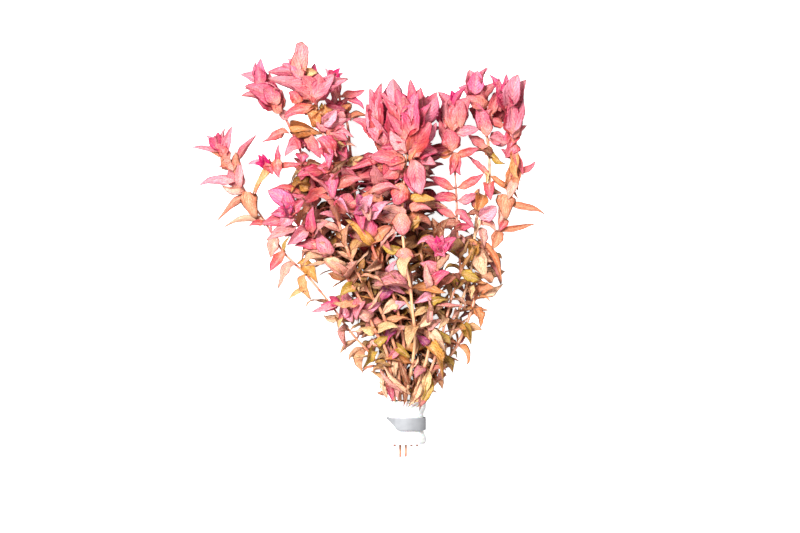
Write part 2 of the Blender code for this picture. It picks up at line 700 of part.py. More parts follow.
def stem_tube(name, route, radius_added, collection):
    # A six-sided tube along the route, thinner towards the crown.
    curve = bpy.data.curves.new("tube_" + name, "CURVE")
    curve.dimensions = "3D"
    share = 1 if "slot" in STEMS[name] else SIDE_SHOOT_SHARE
    curve.bevel_depth = STEM_RADIUS * share + radius_added
    curve.bevel_resolution = 1
    curve.use_fill_caps = True
    spline = curve.splines.new("POLY")
    spline.points.add(len(route.path) - 1)
    for point, place, mark in zip(spline.points, route.path, route.at):
        point.co = (*place, 1)
        point.radius = mix(1.0, TIP_TAPER, mark / route.length)
    tube = link(bpy.data.objects.new("tube_" + name, curve), collection)
    bpy.context.view_layer.update()
    graph = bpy.context.evaluated_depsgraph_get()
    mesh = bpy.data.meshes.new_from_object(tube.evaluated_get(graph))
    solid = bmesh.new()
    solid.from_mesh(mesh)
    bmesh.ops.remove_doubles(solid, verts=solid.verts, dist=0.01 * MM)
    bmesh.ops.triangulate(solid, faces=solid.faces)
    bmesh.ops.recalc_face_normals(solid, faces=solid.faces)
    bpy.data.objects.remove(tube)
    bpy.data.meshes.remove(mesh)
    return solid


def bud_mesh(name, route):
    # The spindle at the heart of a crown, which its leaves grow from.
    stem = STEMS[name]
    aim = Vector(stem["aim"]).normalized()
    length = BUD_LENGTH * stem["size"]
    bud = bmesh.new()
    bmesh.ops.create_uvsphere(bud, u_segments=5, v_segments=3, radius=1)
    bmesh.ops.scale(bud, vec=(BUD_RADIUS, BUD_RADIUS, length / 2), verts=bud.verts)
    bmesh.ops.rotate(bud, matrix=UP.rotation_difference(aim).to_matrix(), verts=bud.verts)
    centre = route.point(route.length) + aim * (GAP + length / 2)
    bmesh.ops.translate(bud, vec=centre, verts=bud.verts)
    bmesh.ops.triangulate(bud, faces=bud.faces)
    return bud


def keep_outer_shell(solid):
    # Crossing leaves can close off a pocket between them, which is filled in here.
    shells, seen = [], set()
    for start in solid.verts:
        if start in seen:
            continue
        seen.add(start)
        shell = [start]
        for vertex in shell:
            fresh = {e.other_vert(vertex) for e in vertex.link_edges} - seen
            seen |= fresh
            shell += fresh
        shells.append(shell)
    shells.sort(key=len)
    pockets = [vertex for shell in shells[:-1] for vertex in shell]
    bmesh.ops.delete(solid, geom=pockets, context="VERTS")


def joined(body, solids, operation):
    # The body with the solids joined on or cut out, as one mesh with no helpers left.
    helpers = bpy.data.collections.new("helpers_of_" + body.name)
    bpy.context.scene.collection.children.link(helpers)
    for i, solid in enumerate(solids):
        object_from(f"helper_{body.name}_{i}", solid, helpers)
    join = body.modifiers.new("join", "BOOLEAN")
    join.operation = operation
    join.solver = "EXACT"
    join.operand_type = "COLLECTION"
    join.collection = helpers
    bpy.context.view_layer.update()
    graph = bpy.context.evaluated_depsgraph_get()
    whole = bpy.data.meshes.new_from_object(body.evaluated_get(graph))
    body.modifiers.clear()
    tidy = bmesh.new()
    tidy.from_mesh(whole)
    keep_outer_shell(tidy)
    bmesh.ops.dissolve_limit(tidy, angle_limit=FLAT_ANGLE, verts=tidy.verts, edges=tidy.edges)
    bmesh.ops.triangulate(tidy, faces=tidy.faces)
    tidy.to_mesh(whole)
    tidy.free()
    body.data = whole
    for helper in list(helpers.objects):
        bpy.data.objects.remove(helper)
    bpy.data.collections.remove(helpers)
    return body


def fused(name, core, leaves, collection):
    # One solid of a core and the leaves that grow from it.
    return joined(object_from(name, core, collection), leaves, "UNION")


def material(name, colour, roughness, metallic=0.0):
    made = bpy.data.materials.new(name)
    made.use_nodes = True
    shader = made.node_tree.nodes["Principled BSDF"]
    shader.inputs["Base Color"].default_value = (*colour, 1)
    shader.inputs["Roughness"].default_value = roughness
    shader.inputs["Metallic"].default_value = metallic
    return made


def foam_squeeze(along, waist):
    # Share of the foam's full thickness left at this place, -1 to 1 along it.
    return mix(FOAM_WAIST, 1.0, eased((abs(along) - waist) / FOAM_SHOULDER))


def foam_sleeve():
    # An oval block that is pinched at the middle and rounded at the rims, before its bores.
    waist = (STRIP_WIDTH + 2 * GAP) / FOAM_LENGTH
    stations = (-1, -FOAM_RIM_FROM, -waist, waist, FOAM_RIM_FROM, 1)
    sleeve = bmesh.new()
    rings = []
    for along in stations:
        squeeze = foam_squeeze(along, waist) * (FOAM_RIM if abs(along) == 1 else 1)
        lowest = STRIP_THICKNESS + GAP if abs(along) <= waist else 0
        ring = []
        for i in range(FOAM_SIDES):
            angle = math.tau * (i + 0.5) / FOAM_SIDES
            x = FOAM_CENTRE[0] + FOAM_HALF_WIDTH * squeeze * math.cos(angle)
            z = BUNDLE_Z + FOAM_HALF_HEIGHT * squeeze * math.sin(angle)
            y = FOAM_CENTRE[1] + along * FOAM_LENGTH / 2
            ring.append(sleeve.verts.new((x, y, max(z, lowest))))
        edges = [sleeve.edges.new((a, b)) for a, b in zip(ring, ring[1:] + ring[:1])]
        rings.append((ring, edges))
    for (_, lower), (_, upper) in zip(rings, rings[1:]):
        bmesh.ops.bridge_loops(sleeve, edges=lower + upper)
    for ring, _ in (rings[0], rings[-1]):
        bmesh.ops.contextual_create(sleeve, geom=ring)
    bmesh.ops.recalc_face_normals(sleeve, faces=sleeve.faces)
    return sleeve


def strip_winding():
    # The strip's cross-section winds round the foam, is flat underneath and is drawn out along Y.
    turn = 360 + STRIP_OVERLAP_DEG
    inner, outer = [], []
    for i in range(STRIP_STEPS + 1):
        share = i / STRIP_STEPS
        angle = math.radians(STRIP_START_DEG + turn * share)
        climbed = eased((turn * share - STRIP_CLIMB_FROM_DEG) / STRIP_CLIMB_OVER_DEG)
        climb = (STRIP_THICKNESS + STRIP_TURN_GAP) * climbed
        for outline, more in ((inner, 0), (outer, STRIP_THICKNESS)):
            added = GAP + climb + more
            x = (FOAM_HALF_WIDTH * FOAM_WAIST + added) * math.cos(angle)
            z = (FOAM_HALF_HEIGHT * FOAM_WAIST + added) * math.sin(angle)
            lowest = STRIP_THICKNESS - more - BUNDLE_Z
            outline.append((FOAM_CENTRE[0] + x, BUNDLE_Z + max(z, lowest)))
    strip = bmesh.new()
    front = FOAM_CENTRE[1] - STRIP_WIDTH / 2
    corners = [strip.verts.new((x, front, z)) for x, z in outer + inner[::-1]]
    edges = [strip.edges.new(pair) for pair in zip(corners, corners[1:] + corners[:1])]
    flat = bmesh.ops.edgeloop_fill(strip, edges=edges)["faces"]
    drawn = bmesh.ops.extrude_face_region(strip, geom=flat, use_keep_orig=True)["geom"]
    moved = [v for v in drawn if isinstance(v, bmesh.types.BMVert)]
    bmesh.ops.translate(strip, vec=(0, STRIP_WIDTH, 0), verts=moved)
    bmesh.ops.triangulate(strip, faces=strip.faces)
    bmesh.ops.recalc_face_normals(strip, faces=strip.faces)
    return strip


def centre_on_origin(objects):
    # The origin is on the surface, under the middle of the bunch.
    bpy.context.view_layer.update()
    corners = [obj.matrix_world @ Vector(c) for obj in objects for c in obj.bound_box]
    low = Vector([min(c[k] for c in corners) for k in range(3)])
    high = Vector([max(c[k] for c in corners) for k in range(3)])
    shift = Vector((-(low.x + high.x) / 2, -(low.y + high.y) / 2, -low.z))
    for obj in objects:
        obj.location += shift
    return shift


def main():
    for obj in list(bpy.data.objects):
        bpy.data.objects.remove(obj)
    bunch = bpy.data.collections.new("rotala_bunch")
    bpy.context.scene.collection.children.link(bunch)
    looks = {
        "stem": material("stem", (0.62, 0.36, 0.16), 0.45),
        "crown": material("crown", (0.80, 0.16, 0.26), 0.40),
        "foam": material("foam", (0.90, 0.90, 0.88), 0.90),
        "lead": material("lead", (0.55, 0.56, 0.58), 0.35, 0.9),
    }

    room = Room()
    sleeve, winding = foam_sleeve(), strip_winding()
    room.add("foam_wrap", True, sleeve)
    room.add("lead_strip", True, winding)
    routes = {name: stem_route(name) for name in STEMS}
    tubes = {name: stem_tube(name, routes[name], 0.0, bunch) for name in STEMS}
    for name, tube in tubes.items():
        room.add("stem_" + name, True, tube)
    buds = {name: bud_mesh(name, routes[name]) for name in STEMS}
    for name, bud in buds.items():
        room.add("crown_" + name, True, bud)

    leaves = {}
    for kind, rule in (("crown_", crown_leaves), ("stem_", stem_leaves)):
        for name in FRONT_TO_BACK:
            tried = [placed_leaf(room, kind + name, leaf) for leaf in rule(name, routes[name])]
            leaves[kind + name] = [blade for blade in tried if blade]

    made = []
    for name in STEMS:
        stem = fused("stem_" + name, tubes[name], leaves["stem_" + name], bunch)
        crown = fused("crown_" + name, buds[name], leaves["crown_" + name], bunch)
        stem.data.materials.append(looks["stem"])
        crown.data.materials.append(looks["crown"])
        made += [stem, crown]
    through = [name for name in STEMS if "slot" in STEMS[name]]
    bores = [stem_tube(name, routes[name], GAP, bunch) for name in through]
    foam = joined(object_from("foam_wrap", sleeve, bunch), bores, "DIFFERENCE")
    foam.data.materials.append(looks["foam"])
    strip = object_from("lead_strip", winding, bunch)
    strip.data.materials.append(looks["lead"])
    made += [foam, strip]
    shift = centre_on_origin(made)
    print("leaves:", sum(len(found) for found in leaves.values()), "shift:", shift)


if __name__ == "__main__":
    main()
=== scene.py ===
import math
import random

import bmesh
import bpy
from mathutils import Matrix, Vector, noise
from mathutils.bvhtree import BVHTree
from mathutils.kdtree import KDTree


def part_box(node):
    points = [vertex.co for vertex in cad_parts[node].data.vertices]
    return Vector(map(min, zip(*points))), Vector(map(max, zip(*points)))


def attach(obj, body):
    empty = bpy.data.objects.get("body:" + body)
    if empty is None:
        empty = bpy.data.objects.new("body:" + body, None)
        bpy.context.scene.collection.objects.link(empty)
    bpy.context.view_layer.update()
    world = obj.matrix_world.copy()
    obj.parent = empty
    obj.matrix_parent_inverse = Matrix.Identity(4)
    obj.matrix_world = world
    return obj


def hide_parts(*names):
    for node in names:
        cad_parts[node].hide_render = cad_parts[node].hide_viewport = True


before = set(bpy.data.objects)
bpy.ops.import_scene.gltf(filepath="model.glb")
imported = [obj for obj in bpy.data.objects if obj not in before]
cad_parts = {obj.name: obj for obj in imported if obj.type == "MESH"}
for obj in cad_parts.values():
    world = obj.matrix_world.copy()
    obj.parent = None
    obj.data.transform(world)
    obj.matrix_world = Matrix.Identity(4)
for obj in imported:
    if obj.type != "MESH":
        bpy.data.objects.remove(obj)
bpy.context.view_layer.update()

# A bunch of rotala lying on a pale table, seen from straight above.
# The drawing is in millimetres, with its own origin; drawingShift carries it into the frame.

mm = 0.001
skyward = Vector((0, 0, 1))

foam = {
    "centre": (23, -103),
    "length": 26,
    "halfWidth": 12.4,
    "halfHeight": 9.4,
    "waist": 0.86,         # share of its size left under the strip
    "shoulder": 0.35,
    "rim": 0.93,
    "rimFrom": 0.88,
    "boreGap": 0.25,
    "cutEnd": 1.2,         # how far a stem stands out of it, unless the stem says so
    "lump": 0.028,         # how uneven the outside is
    "lumpScale": (3, 0.22),    # round it and along it
    "lumpRun": 0.2,        # share of its half length over which the lumps set in beside the strip
    "restRun": 0.1,        # and over which it comes down on the table
    "rings": 44,
    "sides": 88,
    "cellSize": 0.9,
    "colour": (0.93, 0.93, 0.92),
    "patchColour": (0.80, 0.80, 0.78),
    # painted shade in the hollows of the open cells
    "poreShade": (0.70, 0.70, 0.69),
}

# Stems pass the foam in columns and rows; a slot of a stem is its (column, row)
bundle = {"height": 8.2, "columnPitch": 3.4, "rowPitch": 4.0, "runLength": 28}

# How the leaves of the solids grow, from the youngest to the oldest
growth = {
    "firstPair": 9,
    "pairSpacing": (12, 24),
    "spacingOldAt": 110,
    "leafOldAt": 150,
    "clearOfFoam": 5,
    "clearOfFork": 3,
    "length": (25, 15.5),
    "width": (11, 7),
    "spread": (34, 92),
    "spreadLimits": (8, 125),
    "thickness": 0.8,
    "arch": 0.45,
    "drawnWidening": 1.25,
    "crowdedWidth": 0.8,
    "curl": (30, 50),      # usual value and how far a leaf may be from it
    "fold": (9, 6),
    "flop": (0.6, 0.35),
    "drawnFlop": (0.82, 0.16),
    "droop": (0.35, 0.25),
    "turnError": (0, 16),
    "spreadError": (0, 16),
    "lengthShare": (1, 0.15),
    "widthShare": (1, 0.18),
    "raise": 0.22,
    "rings": (0.36, 0.74),
    "shortLeaf": 18.5,
    "shortRings": (0.45,),
    "rootDepth": 0.15,
    "rootFree": 0.3,
    "steps": 12,
    "gap": 0.3,
    "outline": (0.65, 0.8),    # powers that shape a blade: place of its widest part, fullness
    "tolerance": 0.05,         # how far a found leaf may be from the solid's
}

# A leaf takes one of these: change of spread and of place round the stem, share of its length
leafPoses = (
    (0, 0, 1.0), (14, 0, 1.0), (-14, 0, 1.0), (0, 22, 0.95), (0, -22, 0.95), (26, 14, 0.9),
    (-26, -14, 0.9), (20, -40, 0.85), (-20, 40, 0.85), (38, 0, 0.8), (-30, 0, 0.75),
    (0, 58, 0.75), (0, -58, 0.75), (30, 30, 0.6), (-20, -30, 0.6), (0, 0, 0.5),
)

# The stems from left to right, then the side shoots. A route runs from the foam to the foot of the
# crown, aim is the way the crown points, spin turns the leaf pairs and size is that of the leaves.
# A crown leaf is (tip, width, how far up the bud), and a drawn leaf is (how far below the crown,
# tip, width). Some also have: cutEnd, how far they stand out of the foam; slim, their share of the
# usual thickness; gaps, for fewer added leaves; dense, for dark leaves underneath; aged and
# bleached, for the colour of their leaves; pale, for a cream stem; openBeside, how wide a strip over
# them stays bare; eyeRun, how far down all leaves are given one by one; bareCrown, for a crown with
# none of the solid's leaves.
stems = {}
stems["01"] = {
    "slot": (-2, 0), "aim": (-0.55, 0.8, 0.15), "spin": 12, "size": 0.95, "slim": 0.72, "gaps": 1.7,
    "bleached": 0.4, "eyeRun": 98, "bareCrown": True,
    "route": ((5, -66, 10), (-9, -50, 10), (-23, -31, 10), (-37, -14, 10), (-51, 0, 9), (-62, 18, 9),
              (-71, 31, 9), (-76, 40, 10), (-81, 49, 12)),
    "crown": (((-106, 64, 12), 6, 3), ((-91, 69, 20), 6, 7), ((-96, 66, 13), 6, 6), ((-80, 65, 20), 9, 3),
              ((-99, 53, 17), 8, 1), ((-88, 61, 28), 9, 3), ((-86, 66, 6), 8, 4)),
    "drawn": ((9, (-102, 40, 12), 8), (9, (-67, 70, 16), 6), (20, (-90, 18, 10), 8),
              (20, (-62, 29, 22), 9), (36, (-86, 14, 12), 7), (36, (-52, 26, 12), 8),
              (49, (-60, -5, 10), 6.5), (49, (-45, 11, 16), 7), (58, (-60, -10, 14), 6),
              (68, (-54, -24, 8), 7), (68, (-30, -18, 14), 7), (80, (-34, -30, 10), 6),
              (90, (-48, -31, 9), 6)),
}
stems["02"] = {
    "slot": (-2, 1), "aim": (-0.3, 0.4, 0.85), "spin": 40, "size": 0.9, "aged": 0.2, "openBeside": 2.4,
    "route": ((12, -62, 18), (4, -46, 21), (-3, -31, 24), (-11, -17, 26), (-20, -5, 27), (-31, 7, 28),
              (-39, 14, 29), (-46, 22, 33)),
    "crown": (((-58, 28, 46), 7, 4), ((-63, 35, 40), 9, 2), ((-59, 16, 40), 8, 2), ((-30, 28, 38), 9, 1),
              ((-44, 39, 44), 8, 3), ((-44, 30, 52), 5, 6), ((-51, 25, 52), 5, 6), ((-40, 11, 42), 8, 2)),
}
stems["03"] = {
    "slot": (-1, -1), "aim": (-0.4, 0.91, 0.1), "spin": 5, "size": 1.0, "cutEnd": 8.5, "aged": -0.14,
    "dense": True, "eyeRun": 36,
    "route": ((16, -66, 6), (10, -50, 7), (3, -35, 8), (-4, -22, 9), (-12, -10, 10), (-20, -1, 10),
              (-27, 10, 10), (-32, 24, 10), (-35, 38, 10), (-38, 52, 11), (-41, 62, 12), (-46, 73, 13),
              (-51, 84, 14)),
    "crown": (((-75, 100, 10), 12, 2), ((-52, 102, 22), 10, 3), ((-77, 95, 20), 8, 4),
              ((-68, 85, 25), 8, 0.5), ((-63, 116, 19), 6.5, 7), ((-67, 113, 13), 6, 6.5),
              ((-75, 107, 17), 7, 6.5)),
}
stems["04"] = {
    "slot": (-1, 1), "aim": (-0.12, 0.96, 0.2), "spin": 8, "size": 1.05, "aged": -0.14, "eyeRun": 42,
    "route": ((18, -65, 16), (14, -50, 19), (8, -35, 22), (1.5, -25, 24), (-4, -16, 26), (-9, -6, 27),
              (-13, 5, 28), (-17, 18, 28), (-20, 31, 28), (-22, 44, 27), (-24, 61, 26), (-27, 73, 25),
              (-30, 86, 24)),
    "crown": (((-38, 125, 30), 8, 6), ((-56, 102, 32), 11, 3), ((-10, 103, 32), 11, 3),
              ((-58, 109, 22), 9, 4), ((-48, 91, 36), 9, 1), ((-32, 102, 46), 10, 5),
              ((-33, 113, 22), 8, 7), ((-18, 95, 40), 8, 1)),
    "drawn": ((12, (-11, 82, 30), 9), (12, (-42, 84, 34), 9)),
}
stems["05"] = {
    "slot": (0, -1), "aim": (-0.25, 0.96, 0.1), "spin": 30, "size": 0.95, "aged": -0.14, "dense": True,
    "eyeRun": 44,
    "route": ((18, -60, 6.5), (12, -44, 7.5), (6, -26, 9), (1, -10, 10), (-3, 7, 11), (-6, 25, 12),
              (-9, 43, 12), (-10.5, 61, 12), (-12, 76, 12), (-15, 86, 12), (-17, 93, 12)),
    "crown": (((-20, 110, 20), 6, 7), ((-26, 112, 14), 6, 6), ((-4, 99, 16), 7, 2), ((0, 88, 11), 6, 1),
              ((-30, 104, 9), 8, 2), ((-15, 107, 6), 8, 4), ((-9, 106, 20), 7, 4)),
}
stems["06"] = {
    "slot": (0, 0), "aim": (-0.1, 0.4, 0.9), "spin": 20, "size": 0.85, "cutEnd": 8.0, "aged": 0.15,
    "openBeside": 2.4,
    "route": ((22.5, -65, 14), (20.5, -47, 17), (17, -31, 20), (13, -19, 22), (9, -10, 24), (4, 0, 27),
              (0, 12, 30), (-3, 24, 33)),
    "crown": (((-15, 33, 38), 9, 2), ((9, 34, 38), 9, 2), ((-3, 43, 40), 9, 3), ((-3, 12, 40), 8, 2),
              ((-7, 31, 50), 6, 5), ((2, 27, 50), 6, 5)),
}
stems["07"] = {
    "slot": (-1, 0), "aim": (-0.05, 0.99, 0.1), "spin": 15, "size": 1.05, "aged": -0.1, "dense": True,
    "eyeRun": 20,
    "route": ((19, -62, 10.5), (16, -44, 12), (12, -26, 13), (9, -8, 15), (8, 10, 17), (7, 28, 18),
              (8, 46, 19), (8.5, 61, 19), (7, 72, 19)),
    "crown": (((7, 103, 23), 8, 4), ((1, 100, 25), 9, 1), ((13, 94, 13), 9, 2), ((-6, 85, 23), 9, 0.5),
              ((9, 93, 32), 9, 4), ((4, 97, 10), 8, 4), ((12, 98, 22), 6, 7)),
    "drawn": ((10, (-2, 78, 28), 9), (10, (16, 80, 18), 9)),
}
stems["08"] = {
    "slot": (0, 1), "aim": (-0.02, 0.99, 0.12), "spin": -6, "size": 1.15, "pale": True, "openBeside": 2.8,
    "eyeRun": 44,
    "route": ((27, -66, 17), (28.5, -50, 21), (27, -35, 25), (25.5, -20, 27), (23, -8, 29), (22, 1, 30),
              (20.7, 16, 30), (21, 31, 30), (22, 43, 30), (23, 56, 29), (23.5, 66, 28)),
    "crown": (((15, 99, 35), 9, 5), ((24, 103, 32), 9, 7), ((28, 98, 41), 7, 6.5), ((42, 93, 34), 8, 4),
              ((10, 80, 34), 11, 1), ((37, 86, 38), 11, 2), ((19, 91, 46), 10, 5), ((26, 92, 16), 10, 3)),
    "drawn": ((5, (10, 72, 38), 11), (5, (41, 77, 32), 10), (12, (33, 34, 38), 11), (12, (0, 49, 32), 10),
              (24, (40, 52, 30), 9), (24, (5, 55, 28), 9), (38, (18, 12, 38), 12)),
}
stems["09"] = {
    "slot": (1, -1), "aim": (0.15, 0.97, 0.1), "spin": 35, "size": 1.0, "dense": True,
    "route": ((29, -74, 6), (34, -56, 7.5), (36, -35, 9), (34, -14, 11), (31, 7, 12), (28, 24, 13),
              (29, 43, 14), (31, 61, 14), (33, 74, 14)),
    "crown": (((31, 99, 12), 9, 3), ((41, 98, 14), 8, 4), ((22, 88, 8), 9, 1), ((43, 86, 8), 9, 1),
              ((36, 96, 6), 8, 4), ((34, 93, 25), 8, 3)),
}
stems["10"] = {
    "slot": (1, 1), "aim": (0.1, 0.45, 0.88), "spin": 10, "size": 0.72, "aged": 0.35, "pale": True,
    "openBeside": 2.8,
    "route": ((31.5, -77, 16), (36, -62, 20), (37, -52, 23), (38, -40, 26), (39, -30, 28), (41, -20, 30),
              (42, -10, 32), (42.5, -2, 34)),
    "crown": (((33, 9, 41), 6, 2), ((53, 10, 41), 6, 2), ((43, 19, 41), 6, 3), ((45, -9, 40), 6, 2),
              ((40, 7, 48), 4, 5), ((47, 6, 48), 4, 5)),
}
stems["11"] = {
    "slot": (2, 1), "aim": (0.02, 0.99, 0.15), "spin": -4, "size": 1.0, "slim": 0.84, "gaps": 1.5,
    "bleached": 0.1, "eyeRun": 60,
    "route": ((36, -76, 16), (42, -59, 18), (47, -41, 19), (50.7, -27, 19), (55, -15, 18), (55.5, -6, 17),
              (54, 12, 17), (53.7, 28, 17), (53, 39, 17), (52.5, 49, 17), (50.7, 62, 16), (50, 70, 16)),
    "crown": (((43, 96, 20), 10, 4), ((61, 91, 20), 10, 4), ((51, 99, 28), 6, 7), ((57, 99, 20), 5, 6.5),
              ((38, 90, 13), 9, 2), ((57, 90, 7), 9, 2), ((50, 88, 34), 9, 2)),
    "drawn": ((9, (41, 77, 20), 10), (9, (63, 76, 20), 10), (20, (38, 60, 24), 9), (20, (66, 62, 24), 9),
              (31, (37, 46, 19), 8), (31, (70, 48, 17), 8)),
}
stems["12"] = {
    "slot": (1, 0), "aim": (-0.1, 0.98, 0.15), "spin": 25, "size": 0.95, "pale": True, "gaps": 1.5,
    "bleached": 0.15, "eyeRun": 88,
    "route": ((34, -80, 9.5), (42, -68, 10), (49.5, -52, 10), (55, -36, 10), (59, -23, 10), (63, -8, 10),
              (64.5, 7, 10), (66, 21, 10), (70, 31, 10), (73.5, 42, 11), (73.5, 52, 12), (73, 64, 13),
              (70.5, 76, 14), (67, 88, 14)),
    "crown": (((59, 109, 18), 9, 4), ((68, 110, 23), 9, 5), ((72, 112, 16), 5, 7), ((80, 104, 20), 8, 1),
              ((62, 100, 30), 9, 2), ((54, 100, 10), 8, 2), ((73, 102, 7), 8, 3)),
    "drawn": ((11, (58, 84, 24), 9), (11, (84, 88, 22), 9)),
}
stems["13"] = {
    "slot": (2, 0), "aim": (-0.05, 0.99, 0.12), "spin": -10, "size": 1.05, "gaps": 1.9, "bleached": 0.3,
    "eyeRun": 72,
    "route": ((41, -79, 8.5), (47, -67, 8.5), (53, -58, 9), (59, -46, 9), (64, -31, 9), (67, -20, 9),
              (71, -6, 10), (76, 4, 11), (80, 14, 12), (84, 28, 13), (88, 38, 14), (88, 49, 14),
              (89, 61, 14), (89.5, 73, 14)),
    "crown": (((86, 105, 20), 11, 5), ((96, 103, 15), 8, 5), ((82, 103, 13), 6, 7), ((77, 91, 16), 9, 2),
              ((99, 88, 22), 9, 1), ((88, 92, 32), 11, 3), ((90, 96, 4), 9, 3)),
    "drawn": ((10, (84, 88, 28), 12), (10, (98, 79, 18), 8), (24, (98, 54, 14), 7), (24, (77, 57, 22), 8),
              (47, (107, 26, 14), 7.5), (47, (74, 36, 22), 8), (62, (102, 18, 12), 7),
              (62, (67, 22, 20), 7), (80, (82, -20, 8), 7), (80, (60, 6, 16), 7), (104, (80, -21, 10), 8),
              (104, (55, -14, 16), 6)),
}
stems["14"] = {
    "branchOf": "01", "aim": (-0.1, 0.4, 0.9), "spin": 0, "size": 0.75, "slim": 0.8, "eyeRun": 99,
    "bareCrown": True,
    "route": ((-69, 31, 11), (-67, 37, 13.5), (-63, 44, 17), (-59, 49, 21)),
    "crown": (((-74, 51, 32), 8, 2), ((-38, 54, 30), 8, 1.5), ((-52, 64, 34), 8, 3),
              ((-61, 58, 39), 5, 5), ((-55, 53, 41), 5, 5), ((-60, 38, 30), 7, 2)),
    "drawn": ((6, (-70, 38, 24), 6), (6, (-52, 42, 20), 6)),
}
stems["15"] = {
    "branchOf": "03", "aim": (-0.9, -0.1, 0.3), "spin": 30, "size": 0.6, "aged": 0.4,
    "route": ((1, -31, 10.5), (-4, -31, 13), (-10, -31, 14), (-16, -31.5, 15)),
    "crown": (((-33, -30, 19), 5, 1), ((-27, -24, 21), 5, 2), ((-26, -40, 20), 5, 2),
              ((-34, -37, 16), 4, 2), ((-22, -28, 27), 4, 3), ((-30, -34, 25), 4, 4)),
}

# Where the drawing lies in the frame

foamLow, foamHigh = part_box("foam_wrap")
drawingShift = Vector((
    (foamLow.x + foamHigh.x) / 2 - foam["centre"][0] * mm,
    (foamLow.y + foamHigh.y) / 2 - foam["centre"][1] * mm,
    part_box("lead_strip")[0].z,
))


def inFrame(point):
    return point * mm + drawingShift


def inDrawing(point):
    return (point - drawingShift) / mm


# Small helpers

def mix(a, b, share):
    return a + (b - a) * share


def held(value, low=0.0, high=1.0):
    return min(max(value, low), high)


def eased(share):
    share = held(share)
    return share * share * (3 - 2 * share)


def jitter(stem, place, channel):    # a repeatable number from -1 to 1
    wave = math.sin(int(stem) * 12.9898 + place * 78.233 + channel * 37.719) * 43758.5453
    return 2 * (wave - math.floor(wave)) - 1


def varied(usualAndReach, stem, place, channel):
    usual, reach = usualAndReach
    return usual + reach * jitter(stem, place, channel)


def aimOf(name):
    return Vector(stems[name]["aim"]).normalized()


# Routes of the stems

def smoothPath(points, step=1.0):    # a Catmull-Rom curve through the points
    ends = [2 * points[0] - points[1], *points, 2 * points[-1] - points[-2]]
    path = []
    for a, b, c, d in zip(ends, ends[1:], ends[2:], ends[3:]):
        count = max(2, round((c - b).length / step))
        for i in range(count):
            t = i / count
            path.append(0.5 * (2 * b + (c - a) * t + (2 * a - 5 * b + 4 * c - d) * t**2
                               + (3 * b - a - 3 * c + d) * t**3))
    return [*path, points[-1]]


class Route:
    # A centre line of straight runs, measured from its lower end

    def __init__(self, path):
        self.path = path
        self.marks = [0.0]
        for a, b in zip(path, path[1:]):
            self.marks.append(self.marks[-1] + (b - a).length)
        self.length = self.marks[-1]

    def point(self, distance):
        distance = held(distance, 0.0, self.length)
        i = max(k for k, mark in enumerate(self.marks) if mark <= distance + 1e-9)
        i = min(i, len(self.path) - 2)
        share = (distance - self.marks[i]) / (self.marks[i + 1] - self.marks[i])
        return self.path[i].lerp(self.path[i + 1], share)

    def direction(self, distance, reach=4):
        return (self.point(distance + reach) - self.point(distance - reach)).normalized()


def slotPlace(name, y):    # where a stem runs through the foam
    column, row = stems[name]["slot"]
    return Vector((foam["centre"][0] + column * bundle["columnPitch"], y,
                   bundle["height"] + row * bundle["rowPitch"]))


def stemRoutes(name):    # the solid's route in straight runs, and the smooth one it follows
    stem = stems[name]
    drawn, foot = [Vector(p) for p in stem["route"]], []
    if "slot" in stem:
        cut = foam["centre"][1] - foam["length"] / 2 - stem.get("cutEnd", foam["cutEnd"])
        foot = [slotPlace(name, cut)]
        drawn.insert(0, slotPlace(name, foam["centre"][1] + foam["length"] / 2 + 1))
    curve = Route(smoothPath(drawn))
    runs = max(2, round(curve.length / bundle["runLength"]))
    solid = Route(foot + [curve.point(curve.length * i / runs) for i in range(runs + 1)])
    return solid, Route(foot + curve.path)


routes, smoothRoutes = {}, {}
for name in stems:
    routes[name], smoothRoutes[name] = stemRoutes(name)


def leaflessFoot(name, clear):    # how much of a stem's foot has no leaves
    stem = stems[name]
    if "slot" in stem:
        return foam["length"] + stem.get("cutEnd", foam["cutEnd"]) + clear
    return growth["clearOfFork"]


def pairPlaces(name):    # where the leaf pairs of the solids sit
    route, lowest = routes[name], leaflessFoot(name, growth["clearOfFoam"])
    found, down = [], growth["firstPair"]
    while route.length - down > lowest:
        found.append(route.length - down)
        down += mix(*growth["pairSpacing"], min(1.0, down / growth["spacingOldAt"]))
    return found


# Midribs and outlines of the leaves

def outward(direction, degrees):    # the way out from a stem at this angle round it
    level = direction.cross(skyward).normalized()
    raised = level.cross(direction)
    turn = math.radians(degrees)
    return level * math.cos(turn) + raised * math.sin(turn)


def droopingSpine(leaf):    # leaves the stem at its spread, then curls and sinks
    out = outward(leaf["stem"], leaf["round"])
    spread = math.radians(leaf["spread"])
    ahead = leaf["stem"] * math.cos(spread) + out * math.sin(spread)
    place, spine, steps = leaf["base"].copy(), [], growth["steps"]
    for _ in range(steps + 1):
        spine.append((place, ahead))
        face = ahead.cross(leaf["stem"].cross(out)).normalized()
        ahead = ahead - face * math.radians(leaf["curl"]) / steps
        ahead = (ahead - skyward * leaf["droop"] / steps).normalized()
        place = place + ahead * leaf["length"] / steps
    return out, spine


def archingSpine(leaf):    # starts up the stem and arches over to the leaf's own tip
    base, tip, stem = leaf["base"], leaf["tip"], leaf["stem"]
    bend = base + stem * growth["arch"] * (tip - base).length
    out = (tip - base) - stem * stem.dot(tip - base)
    spine, steps = [], growth["steps"]
    for i in range(steps + 1):
        s = i / steps
        place = base * (1 - s) ** 2 + bend * 2 * s * (1 - s) + tip * s**2
        ahead = (bend - base) * (1 - s) + (tip - bend) * s
        spine.append((place, ahead.normalized()))
    return out.normalized(), spine


